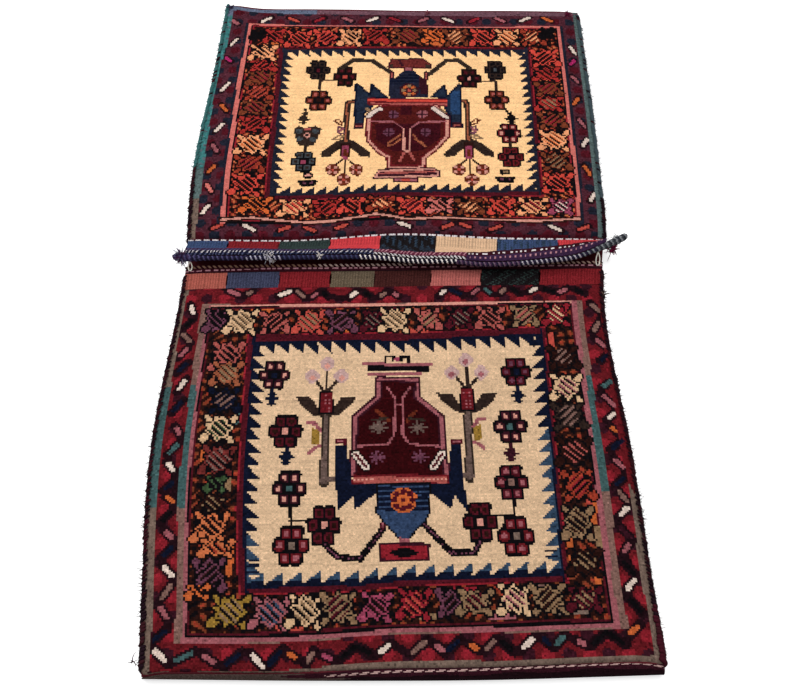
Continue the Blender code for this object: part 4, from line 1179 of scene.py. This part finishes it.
def upper_pattern(face):
    # Painted light, in part: the far field is lighter than the near one for the sheen of its pile's
    # nap as well as for its dye.
    face.dye(face.x < 99, "field_high_nap_sheen")
    sides = (
        (face.y, face.x, *UPPER_LEFT), (face.y, face.x, *UPPER_RIGHT),
        (face.x, face.y, *UPPER_MOUTH), (face.x, face.y, *UPPER_REAR),
    )
    bright = (face.x < -29) & (face.y > 77.5) & (face.y < 101)
    patches, leaves = ("maroon", "tooth_wool"), ("red_leaf", "orange_leaf")
    zones, side, depths = frame_wools(
        face, sides, UPPER_WOOLS, bright, patches, leaves, 1.35, "tooth_wool",
    )
    worn = (zones == 0) & (face.x < -28) & (face.y > 78.5 + 0.8 * np.sin(face.x * 5))
    face.dye(worn, "bright_teal")
    face.dye(worn & (np.sin(face.y * 3.1) * np.sin(face.y * 1.3 + face.x * 4) > 0.55), "dusty_teal")
    face.dye((zones == 0) & (side == 3), "worn_plum")
    face.dye((zones == 0) & (face.y > 112.6) & (face.x < -14), "blue_grey")
    face.dye((zones == 2) & (side < 2), "tooth_wool")
    face.dye((zones == 0) & (side == 2), "maroon")
    face.dye((zones == 0) & (side == 0) & (face.y < 71.5), "beige")
    wavy = (
        (-26.4, 67.2), (-22, 67.6), (-19, 67.2), (-14, 66.7), (-10, 67.0), (-5, 68.0), (-3.5, 68.3),
        (-1, 67.8), (1, 67.3), (6, 67.6), (14, 67.2), (20, 66.9), (26.4, 67.3),
    )
    face.stroke(wavy, 0.95, "brown")
    face.stroke(wavy, 0.38, "pale_pink")
    field = zones == len(UPPER_WOOLS)
    columns = teeth(face.y, abs(depths[0]), 1.75, 1.5, False)
    columns |= teeth(face.y, abs(depths[1]), 1.75, 1.4, False)
    rows = teeth(face.x, abs(depths[2]), 1.85, 1.4, True)
    rows |= teeth(face.x, abs(depths[3]), 1.85, 1.6, True)
    face.dye(field & (columns | rows), "tooth_wool")
    for width, outer in ((1.1, True), (0.58, False)):
        for wool, x, y, across, along in UPPER_MEANDER:
            across, along = (across, along) if outer else (across * 0.8, along * 0.8)
            ends = ((x - across, y - along), (x + across, y + along))
            face.dye(face.near(ends, width) & (zones == 1), "kilim_black" if outer else wool)
    for wool, *points in UPPER_BARS:
        face.stroke(points, 0.7, wool)
    for motif in UPPER_BIRDS:
        bird(face, *motif)
    for motif in UPPER_FLOWERS:
        flower(face, *motif)
    upper_stems(face)
    upper_plant(face, -8.4, 83.0, 1)
    upper_plant(face, 10.7, 83.1, -1)
    upper_vase(face)


UPPER_ROWS = 199
UPPER_PILE_BACK = 0.0035


def upper_pile_mouth(x):
    return upper_pile_end(x) + UPPER_PILE_BACK


def upper_pile_rear(x):
    return turn_of(x, rear_fold, 1)[0] + 0.006


pile_panel(
    "upper_pile", rear_fold, 1, upper_pile_mouth, upper_pile_rear, UPPER_ROWS, upper_pattern,
    pile_wool, seed=5,
)


# Closure bands and hems
# Each mouth ends in a flat-woven band of eight plain rectangles with an open slit between each two,
# then a narrow maroon hem twined with cream. The far band and its hem roll up into a ridge.
BAND_CELL = 0.00125
BAND_CLOTH = 0.0020
BAND_TUCK = 0.002
LOWER_BAND = 0.0260
LOWER_HEM = 0.0090
UPPER_BAND_AND_HEM = 0.054
LOWER_SLITS = (0.102, 0.228, 0.350, 0.455, 0.590, 0.710, 0.850)
UPPER_SLITS = (0.098, 0.220, 0.342, 0.462, 0.595, 0.742, 0.888)
LOWER_BAND_WOOLS = (
    "band_salmon", "band_slate", "band_red", "band_khaki", "band_brown", "band_pink", "band_black",
    "band_red",
)
UPPER_BAND_WOOLS = (
    "band_blue", "band_red", "band_green", "band_coral", "band_black", "band_cream", "band_blue",
    "band_coral",
)
RIB_PITCH = 0.0040
RIB_HEIGHT = 0.00035
SLIT_LENGTH = 0.0180
UPPER_CORD = 0.0078
CLEARANCE = 0.0005
RIDGE_RISE = 0.0205
RIDGE_ROLL = 0.0140
HEM_DROP = math.radians(35)
RIDGE_LINE = (
    (-0.3265, 0.0240), (-0.300, 0.0185), (-0.245, 0.0138), (-0.200, 0.0137), (-0.120, 0.0165),
    (-0.037, 0.0165), (0.028, 0.0098), (0.072, 0.0100), (0.116, 0.0045), (0.149, 0.0052),
    (0.215, 0.0121), (0.248, 0.0170), (0.292, 0.0350), (0.3265, 0.0520),
)
RIDGE_HEIGHT = (
    (-0.3265, -0.0080), (-0.280, -0.0010), (-0.100, 0.0), (0.100, -0.0010), (0.280, 0.0010),
    (0.3265, 0.0050),
)


def lower_mouth(x):
    return lower_pile_end(x) + LOWER_BAND + LOWER_HEM


def ridge_cord(x):
    """Centre line of the cord that finishes the rolled hem."""
    top = BACK_WEAVE + POUCH_LOFT + FLATWEAVE + RIDGE_RISE + drawn(RIDGE_HEIGHT, x)
    return drawn(RIDGE_LINE, x), top - UPPER_CORD / 2


def on_roll(x, share):
    """Places on the rolled hem, from the foot of the far pile at 0 to the cord at 1."""
    foot_y = upper_pile_end(x) + UPPER_PILE_BACK - 0.0015
    foot_z = lining(x, foot_y) + FLATWEAVE
    cord_y, cord_z = ridge_cord(x)
    back = UPPER_CORD / 2 + CLEARANCE
    last_y = cord_y + math.cos(HEM_DROP) * back - math.sin(HEM_DROP) * FLATWEAVE / 2
    last_z = cord_z + math.sin(HEM_DROP) * back + math.cos(HEM_DROP) * FLATWEAVE / 2
    ys = foot_y, foot_y - 0.42 * (foot_y - last_y), last_y + math.cos(HEM_DROP) * RIDGE_ROLL, last_y
    zs = foot_z, foot_z, last_z + math.sin(HEM_DROP) * RIDGE_ROLL, last_z
    blend = (1 - share) ** 3, 3 * share * (1 - share) ** 2, 3 * share**2 * (1 - share), share**3
    return sum(a * b for a, b in zip(blend, ys)), sum(a * b for a, b in zip(blend, zs))


LOWER_CORD = 0.0052
UPPER_BAND_ENDS = (
    (0.00, 0.60), (0.14, 0.57), (0.26, 0.74), (0.63, 0.74), (0.75, 0.50), (0.86, 0.38),
    (0.97, 0.15),
)


def closure_band(name, length, across, slits, slit_middle, ribbed, paint, seed):
    """A closure band with its hem, slit between its rectangles, in cells of about a millimetre.

    Its v runs along the cloth from the pile at 0 to the edge of the hem at 1.
    """
    columns, rows = round(BAG_WIDTH / BAND_CELL), round(length / BAND_CELL)

    def place(u, v):
        x = (u - 0.5) * BAG_WIDTH
        for step in range(2):
            y, z = across(x, v)
            x = across_width(u, y)
        ribs = RIB_HEIGHT * np.cos(2 * math.pi * u * BAG_WIDTH / RIB_PITCH) * (v < ribbed)
        return x, y, z + ribs

    panel = woven_panel(name, columns, rows, place, (BAG_WIDTH, length), band_wool)
    cells = cell_middles(panel)
    face = PileFace(*(cells.T * 100))
    share, run = cells[:, 0] / BAG_WIDTH, cells[:, 1] / length
    paint(face, share, run)
    # Painted shade: the cells in the grooves between the ribs are darkened by about a quarter.
    shaded_groove = np.cos(2 * math.pi * cells[:, 0] / RIB_PITCH) < -0.4
    face.colours[shaded_groove & (run < ribbed)] *= 0.72
    wool_cells(panel, face, np.random.default_rng(seed))
    open_slit = abs(cells[:, 1] - slit_middle * length) < SLIT_LENGTH / 2
    open_slit &= abs(share[:, None] - slits).min(axis=1) < 0.6 * BAND_CELL / BAG_WIDTH
    weave = bmesh.new()
    weave.from_mesh(panel.data)
    weave.faces.ensure_lookup_table()
    gone = [weave.faces[k] for k in np.flatnonzero(open_slit)]
    bmesh.ops.delete(weave, geom=gone, context="FACES")
    weave.normal_update()
    if sum(cell.normal.z for cell in weave.faces) < 0:
        bmesh.ops.reverse_faces(weave, faces=weave.faces)
    weave.to_mesh(panel.data)
    weave.free()
    wall = panel.modifiers.new("cloth", "SOLIDIFY")
    wall.thickness = BAND_CLOTH
    wall.offset = -1
    lay_on_weave()


def on_lower_band(x, v):
    y = lower_pile_end(x) - BAND_TUCK + v * (LOWER_BAND + LOWER_HEM + BAND_TUCK)
    return y, lining(x, y) + FLATWEAVE


def lower_band_pattern(face, share, run):
    """Eight rectangles, then a maroon hem with a line of cream dashes."""
    for place, wool in enumerate(LOWER_BAND_WOOLS):
        face.dye(np.searchsorted(LOWER_SLITS, share) == place, wool)
    slubs = np.sin(share * 380 + 3 * np.sin(run * 70)) * np.sin(run * 90 + share * 60) > 0.45
    face.dye(slubs & (np.searchsorted(LOWER_SLITS, share) == 6), "band_green")
    hem = (run - LOWER_BAND_END) / (1 - LOWER_BAND_END)
    face.dye(hem > 0, "hem_maroon")
    line = 0.50 + 0.25 * np.clip(share * 4, 0, 1)
    dash = (share * 62 + 0.3 * np.sin(share * 61)) % 1 < 0.62
    face.dye((abs(hem - line) < 0.12) & dash, "dash_pink")
    face.dye((hem > 0) & (hem < 0.14), "hem_black")


def upper_band_pattern(face, share, run):
    """Eight rectangles, then a hem hatched in pale wool at the left, dotted at the right."""
    end = np.interp(share, *np.array(UPPER_BAND_ENDS).T)
    end += 0.015 * np.sin(share * 190) * np.sin(share * 67)
    for place, wool in enumerate(UPPER_BAND_WOOLS):
        face.dye(np.searchsorted(UPPER_SLITS, share) == place, wool)
    slubs = np.sin(share * 410 + 3 * np.sin(run * 70)) * np.sin(run * 130 + share * 60) > 0.35
    face.dye(slubs & np.isin(np.searchsorted(UPPER_SLITS, share), (4, 6)), "band_slub")
    hem = (run - end) / (1 - end)
    wander = 0.5 * np.sin(share * 83) * np.sin(share * 29)
    slant = (share * 105 + hem * 1.3 + wander) % 1
    left, centre = share < 0.45, (share > 0.45) & (share < 0.67)
    face.dye(hem > 0, "hem_maroon")
    face.dye((hem > 0) & left, "hem_purple")
    face.dye((hem > 0.5) & left, "hem_navy")
    face.dye((hem > 0.12) & left & (slant < 0.36), "hem_blue")
    face.dye((abs(hem - 0.62) < 0.13) & left & (slant < 0.30), "dash_white")
    face.dye((hem > 0) & centre, "hem_rose")
    face.dye((hem > 0) & (hem < 0.5) & centre & (slant < 0.3), "dash_pink")
    face.dye((hem > 0.62) & centre, "hem_black")
    face.dye((hem > 0.62) & centre & ((share * 105 - hem * 2) % 1 < 0.5), "dash_white")
    right = share >= 0.67
    face.dye((hem > 0.45) & right, "hem_purple")
    face.dye((abs(hem - 0.26) < 0.08) & right & ((share * 70 + wander) % 1 < 0.4), "dash_white")
    face.dye((abs(hem - 0.70) < 0.09) & right & ((share * 84) % 1 < 0.3), "dash_pink")
    face.dye(run < 0.05, "hem_maroon")
    face.dye((run < 0.05) & ((share * 52 + 0.12 * np.sin(share * 60)) % 1 < 0.72), "dash_white")


LOWER_BAND_END = 0.757
LOWER_SLIT_MIDDLE = 0.40
UPPER_SLIT_MIDDLE = 0.30
UPPER_RIBBED = 0.45
BAND_DYES = {
    "band_salmon": "#A6584C", "band_slate": "#3E4158", "band_red": "#7C2026",
    "band_khaki": "#645646", "band_brown": "#42201E", "band_pink": "#B0605A",
    "band_black": "#181416", "band_blue": "#38486A", "band_green": "#2E3A38",
    "band_slub": "#2C3A4A", "band_coral": "#C43C42", "band_cream": "#D4AE8C",
    "hem_maroon": "#34101A", "hem_black": "#160C12", "hem_purple": "#3A2440", "hem_navy": "#181A2E",
    "hem_blue": "#4A4E6C", "hem_rose": "#5C2438", "dash_pink": "#B4808A", "dash_white": "#D6CED0",
}
WOOLS.update(BAND_DYES)
band_wool = wool_material("flat_woven_wool", weft=0.0015, shade=0.45, height=0.0004)
closure_band(
    "lower_closure_band", LOWER_BAND + LOWER_HEM + BAND_TUCK, on_lower_band, LOWER_SLITS,
    LOWER_SLIT_MIDDLE, LOWER_BAND_END, lower_band_pattern, seed=31,
)
closure_band(
    "upper_closure_band", UPPER_BAND_AND_HEM, on_roll, UPPER_SLITS, UPPER_SLIT_MIDDLE, UPPER_RIBBED,
    upper_band_pattern, seed=32,
)


# Wound cords
# A cord finishes each mouth: maroon wool with pale stitches on the lower one, and navy and white
# wool wound together on the rolled one, which stands out past both sides, as an ear at the right.
def yarn_curve(name, radius, roundness, wools, capped=True):
    """An empty curve with a round section, for threads in these wools."""
    curve = bpy.data.curves.new(name, "CURVE")
    curve.dimensions = "3D"
    curve.bevel_depth = radius
    curve.bevel_resolution = roundness
    curve.use_fill_caps = capped
    for wool in wools:
        curve.materials.append(wool)
    return curve


def add_thread(curve, points, thickness, wool):
    """A thread through points, in one of the curve's wools, as its thickness changes on the way."""
    thread = curve.splines.new("POLY")
    thread.points.add(len(points) - 1)
    thread.points.foreach_set("co", np.column_stack((points, np.ones(len(points)))).ravel())
    thread.points.foreach_set("radius", thickness)
    thread.material_index = wool
    thread.use_smooth = True


def lay_yarn(name, curve, node):
    """Shows a finished curve in place of a cord, a lacing, a tie or the strip."""
    yarn = bpy.data.objects.new(name, curve)
    bpy.context.collection.objects.link(yarn)
    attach(yarn, "root")
    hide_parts(node)


def wound_cord(name, ends, route, thickness, swells, strands, pitch):
    """Strands twisted round each other along a route; a strand changes wool along its way."""
    for number, spans in enumerate(strands):
        wools = [
            wool_material(f"{name}_wool_{number}_{place}", wool, fibre=0.0008)
            for place, (end, wool) in enumerate(spans)
        ]
        yarn = thickness * 0.30
        curve = yarn_curve(f"{name}_{number}", yarn, 1, wools)
        start = ends[0]
        for place, (end, wool) in enumerate(spans):
            end = min(end, ends[1])
            x = np.linspace(start, end, max(2, round((end - start) / 0.0012)))
            y, z = route(x)
            turn = 2 * math.pi * (x / pitch + number / len(strands))
            turn += 0.5 * np.sin(x * 61) * np.sin(x * 23)
            swell = np.interp(np.minimum(x - ends[0], ends[1] - x), *swells)
            away = (thickness / 2 - yarn) * swell
            around = y + away * np.cos(turn), z + away * np.sin(turn)
            add_thread(curve, np.column_stack((x, *around)), swell, place)
            start = end
        lay_yarn(f"{name}_strand_{number}", curve, name)


def lower_cord_route(x):
    y = lower_mouth(x) + CLEARANCE + LOWER_CORD / 2
    return y, lining(x, lower_mouth(x)) + LOWER_CORD / 2


tip = BAG_WIDTH / 2 + 0.0265
wound_cord(
    "upper_mouth_cord", (-tip, tip), ridge_cord, UPPER_CORD,
    ((0, 0.004, 0.025, 0.05), (0.9, 1.6, 1.5, 1)),
    (
        ((-0.30, "#3A2C46"), (0.27, "#1A1A2A"), (1, "#24262C")),
        (
            (-0.02, "#241E38"), (0.08, "#14101A"), (0.17, "#3A2440"), (0.28, "#2A2036"),
            (1, "#3A3C42"),
        ),
        (
            (-0.22, "#4A4668"), (-0.17, "#A8A4B4"), (-0.06, "#3C3E5C"), (0.08, "#E0D8D4"),
            (0.17, "#6A5464"), (0.26, "#A8A0A8"), (1, "#7A7C80"),
        ),
    ),
    0.0068,
)
wound_cord(
    "lower_mouth_cord", (left_edge(0.014), right_edge(0.014)), lower_cord_route, LOWER_CORD,
    ((0, 0.003), (0.7, 1)),
    (((1, "#2C0C14"),), ((-0.12, "#8C6A58"), (0.02, "#C0A49A"), (0.20, "#5A2A34"), (1, "#A88A7C"))),
    0.0076,
)


# Side lacings
# Dark goat hair is oversewn round the edges of each pouch, stitch after slanting stitch, from the
# top of the face over the edge to the back.
STITCH_PITCH = 0.0046
STITCH_SLANT = 0.0060
HAIR_YARN = 0.0016
LACING_REACH = 0.0055


def loose_thread(curve, start, way, length, thinness, wool, rng):
    """A short thread that curls off from a place, on the whole along a way."""
    heading = np.array(way) + rng.normal(0, 0.55, 3)
    bend = rng.normal(0, 0.5, 3)
    share = np.linspace(0, 1, 5)[:, None]
    points = np.array(start) + (heading + bend * share) * share * length * rng.uniform(0.4, 1.1)
    points[:, 2] = np.maximum(points[:, 2], 0.0008)
    add_thread(curve, points, thinness * np.array((1, 1, 0.9, 0.7, 0.4)), wool)


def side_lacing(name, edge, side, start, end, top, wools, swell, seed):
    """A thread for each stitch of a lacing, with stray hairs, in a wool of its stretch of the side.

    A wool is its hair, the y at which its stretch starts and ends, and how many stitches show it.
    """
    rng = np.random.default_rng(seed)
    curve = yarn_curve(name, HAIR_YARN, 1, [hair[wool] for wool, low_y, high_y, shown in wools])
    for first in np.arange(start, end - STITCH_SLANT, STITCH_PITCH):
        first += rng.normal(0, 0.0006)
        share = np.linspace(0, 1, 9)
        y = first + STITCH_SLANT * (1 - share)
        reach = LACING_REACH * rng.uniform(0.65, 1.15)
        rim = edge(y)
        bulge = rng.normal(0.0014, 0.0006)
        inward = np.interp(share, (0, 0.35, 0.5, 0.65, 1), (reach, 0.0004, -bulge, 0.0004, reach))
        x = rim - side * inward
        high = top(rim - side * np.maximum(inward, 0.001), y) + 0.0008
        low = ground_side(rim - side * np.maximum(inward, 0.001), y) - 0.0012
        rise = np.interp(share, (0, 0.3, 0.5, 0.7, 1), (1, 1, 0.5, 0, 0))
        z = np.maximum(low + (high - low) * rise, HAIR_YARN + 0.0002)
        wool = 0
        for number, (shade, low_y, high_y, shown) in enumerate(wools):
            if low_y < first < high_y and rng.random() < shown:
                wool = number
        stout = 1 + swell * np.interp(first, (-0.54, -0.47), (1, 0))
        taper = np.interp(share, (0, 0.15, 0.85, 1), (0.5, 1, 1, 0.5))
        add_thread(curve, np.column_stack((x, y, z)), stout * taper, wool)
        for tuft in range(3):
            loose_thread(curve, (x[4], y[4], z[4]), (side, 0, 0.5), 0.0035, 0.22, wool, rng)
    lay_yarn(name + "_stitches", curve, name)


def pile_top(x, y):
    return lining(x, y) + PILE + (EDGE_PILE - PILE) * slack(x, y)


HAIR_COLOURS = {
    "dark_hair": "#22121A", "brown_hair": "#38181E", "purple_hair": "#40141F",
    "teal_yarn": "#3E6C6C", "slate_yarn": "#46545A",
}
hair = {
    name: wool_material(name, colour, fibre=0.0009, shade=0.4, height=0.0005)
    for name, colour in HAIR_COLOURS.items()
}
BROWN_SHOWN = {"lower": 0.4, "upper": 0.3}
THIRD_WOOL = {
    "lower_left_lacing": ("purple_hair", -0.45, -0.30, 0.3),
    "lower_right_lacing": ("purple_hair", -1, -0.50, 0.8),
    "upper_left_lacing": ("teal_yarn", 0.20, 1, 0.85),
    "upper_right_lacing": ("slate_yarn", 0.14, 1, 0.8),
}
for word, side, edge in (("left", -1, left_edge), ("right", 1, right_edge)):
    x = edge(0.0)
    ends = {
        "lower": (turn_of(x, front_fold, -1)[0], lower_mouth(x) - LOWER_HEM),
        "upper": (upper_pile_end(x), turn_of(x, rear_fold, 1)[0]),
    }
    for number, (level, (start, end)) in enumerate(ends.items()):
        name = f"{level}_{word}_lacing"
        wools = ("dark_hair", -1, 1, 1), ("brown_hair", -1, 1, BROWN_SHOWN[level]), THIRD_WOOL[name]
        swell = 0 if level == "upper" else 0.9 + 0.3 * side
        side_lacing(name, edge, side, start, end, pile_top, wools, swell, 11 + side + 9 * number)


# White ties
# A doubled white yarn near each side goes from the lower hem up under the rolled hem. Its two
# strands bow apart and cross.
TIE_YARN = 0.0034
TIE_INSET = 0.0080
TIE_CURL = 0.0035
white_wool = wool_material("white_wool", "#E6E0D4", fibre=0.0008, sheen=0.2)
for word, side, edge in (("left", -1, left_edge), ("right", 1, right_edge)):
    x = edge(lower_mouth(0.0)) - side * TIE_INSET
    foot_y = lower_mouth(x) - LOWER_HEM / 2
    foot_z = lining(x, foot_y) + FLATWEAVE + TIE_YARN / 2
    cord_y, cord_z = ridge_cord(x)
    cord_z = cord_z - UPPER_CORD / 2 - TIE_YARN / 2
    for number, apart in enumerate((-1, 1)):
        curve = yarn_curve(f"{word}_tie_{number}", TIE_YARN / 4, 2, [white_wool])
        spline = curve.splines.new("BEZIER")
        spline.bezier_points.add(1)
        reach = (cord_y - foot_y) / 2
        ends = zip(spline.bezier_points, (apart, -apart), (foot_y, cord_y), (foot_z, cord_z))
        for point, sway, y, z in ends:
            point.co = (x + sway * TIE_YARN / 4, y, z)
            point.handle_left = point.co.x - sway * TIE_CURL, y - reach, z
            point.handle_right = point.co.x + sway * TIE_CURL, y + reach, z
        lay_yarn(f"{word}_tie_yarn_{number}", curve, f"{word}_mouth_tie")


# Loose yarn
# Ends of worn yarn stand out where the wrappings frayed: at both ends of the rolled hem's cord,
# in white wisps along it, and at a few corners of the bag.
LEFT_END_DYES = "#3E2448 #222640 #5C2C48 #6C6880"
TUFTS = (
    ("upper_mouth_cord", (-0.3150, 0.0225, 0.0290), 0.0065, 260, 0.0055, LEFT_END_DYES),
    ("upper_mouth_cord", (0.3130, 0.0500, 0.0330), 0.0050, 120, 0.0045, "#2A2C30 #4A4E50 #7E8284"),
    ("upper_mouth_cord", (0.3060, 0.0400, 0.0270), 0.0060, 170, 0.0050, "#6A1238 #4A1024 #8A2048"),
    ("upper_mouth_cord", (-0.1880, 0.0150, 0.0385), 0.0080, 60, 0.0032, "#D8D0CC #B8B4BC"),
    ("upper_mouth_cord", (-0.1150, 0.0170, 0.0385), 0.0055, 26, 0.0030, "#D8D0CC"),
    ("lower_left_lacing", (-0.3120, -0.5660, 0.0160), 0.0020, 9, 0.0060, "#2A1822 #4A2A38"),
    ("lower_right_lacing", (0.2860, -0.0440, 0.0260), 0.0030, 14, 0.0060, "#241418 #5A4A40"),
    ("woven_strip", (-0.2880, 0.5700, 0.0200), 0.0050, 110, 0.0050, "#2A2C44 #46304A"),
    ("woven_strip", (0.2860, 0.5530, 0.0215), 0.0045, 90, 0.0045, "#7A1A40 #5A1830"),
    ("woven_strip", (0.0480, 0.5560, 0.0230), 0.0030, 40, 0.0035, "#9A5A60 #6A3040"),
)
LOOSE_THREAD = 0.0006
for number, (node, place, spread, count, length, dyes) in enumerate(TUFTS):
    rng = np.random.default_rng(count)
    name = f"loose_yarn_{number}"
    wools = [wool_material(f"{name}_{dye[1:]}", dye, fibre=0.0008) for dye in dyes.split()]
    curve = yarn_curve(name, LOOSE_THREAD, 0, wools, capped=False)
    for thread in range(count):
        way = rng.normal(0, 1, 3)
        way /= np.linalg.norm(way)
        start = np.array(place) + way * spread * rng.uniform(0.2, 1.0)
        loose_thread(curve, start, way, length, 1, int(rng.integers(len(wools))), rng)
    lay_yarn(name, curve, node)


# Floor and light
# The bag lies on a pale floor under soft, even light from above, a little brighter from the far
# left, so it throws only a faint shadow along its near and right edges.
floor_mesh = bpy.data.meshes.new("floor")
floor_shape = bmesh.new()
bmesh.ops.create_grid(floor_shape, x_segments=1, y_segments=1, size=6)
floor_shape.to_mesh(floor_mesh)
floor_shape.free()
floor = bpy.data.objects.new("floor", floor_mesh)
floor.location.z = -0.0005
bpy.context.collection.objects.link(floor)
floor_paint = bpy.data.materials.new("pale_floor")
floor_paint.use_nodes = True
floor_tree = floor_paint.node_tree
floor_shader = floor_tree.nodes["Principled BSDF"]
floor_shader.inputs["Base Color"].default_value = (0.80, 0.80, 0.80, 1)
floor_shader.inputs["Roughness"].default_value = 0.9
floor_shader.inputs["Emission Color"].default_value = (1, 1, 1, 1)
seen = add_node(floor_tree, "ShaderNodeLightPath", {}).outputs["Is Camera Ray"]
glow = add_node(floor_tree, "ShaderNodeMath", {"operation": "MULTIPLY", 1: 0.60}, {0: seen})
floor_tree.links.new(glow.outputs["Value"], floor_shader.inputs["Emission Strength"])
floor_mesh.materials.append(floor_paint)

for name, place, size, power in (
    ("far_left_softbox", (-1.3, 1.4, 2.4), 1.8, 48),
    ("overhead_softbox", (0.4, -0.2, 2.8), 2.4, 36),
):
    lamp = bpy.data.lights.new(name, "AREA")
    lamp.size = size
    lamp.energy = power
    holder = bpy.data.objects.new(name, lamp)
    holder.location = place
    holder.rotation_euler = Vector(place).to_track_quat("Z", "Y").to_euler()
    bpy.context.collection.objects.link(holder)

world = bpy.data.worlds.new("studio")
world.use_nodes = True
backdrop = world.node_tree.nodes["Background"]
backdrop.inputs["Color"].default_value = (1, 1, 1, 1)
seen = add_node(world.node_tree, "ShaderNodeLightPath", {}).outputs["Is Camera Ray"]
white = add_node(
    world.node_tree, "ShaderNodeMath", {"operation": "MULTIPLY_ADD", 1: 0.56, 2: 0.44}, {0: seen},
)
world.node_tree.links.new(white.outputs["Value"], backdrop.inputs["Strength"])
bpy.context.scene.world = world
bpy.context.scene.view_settings.view_transform = "Standard"
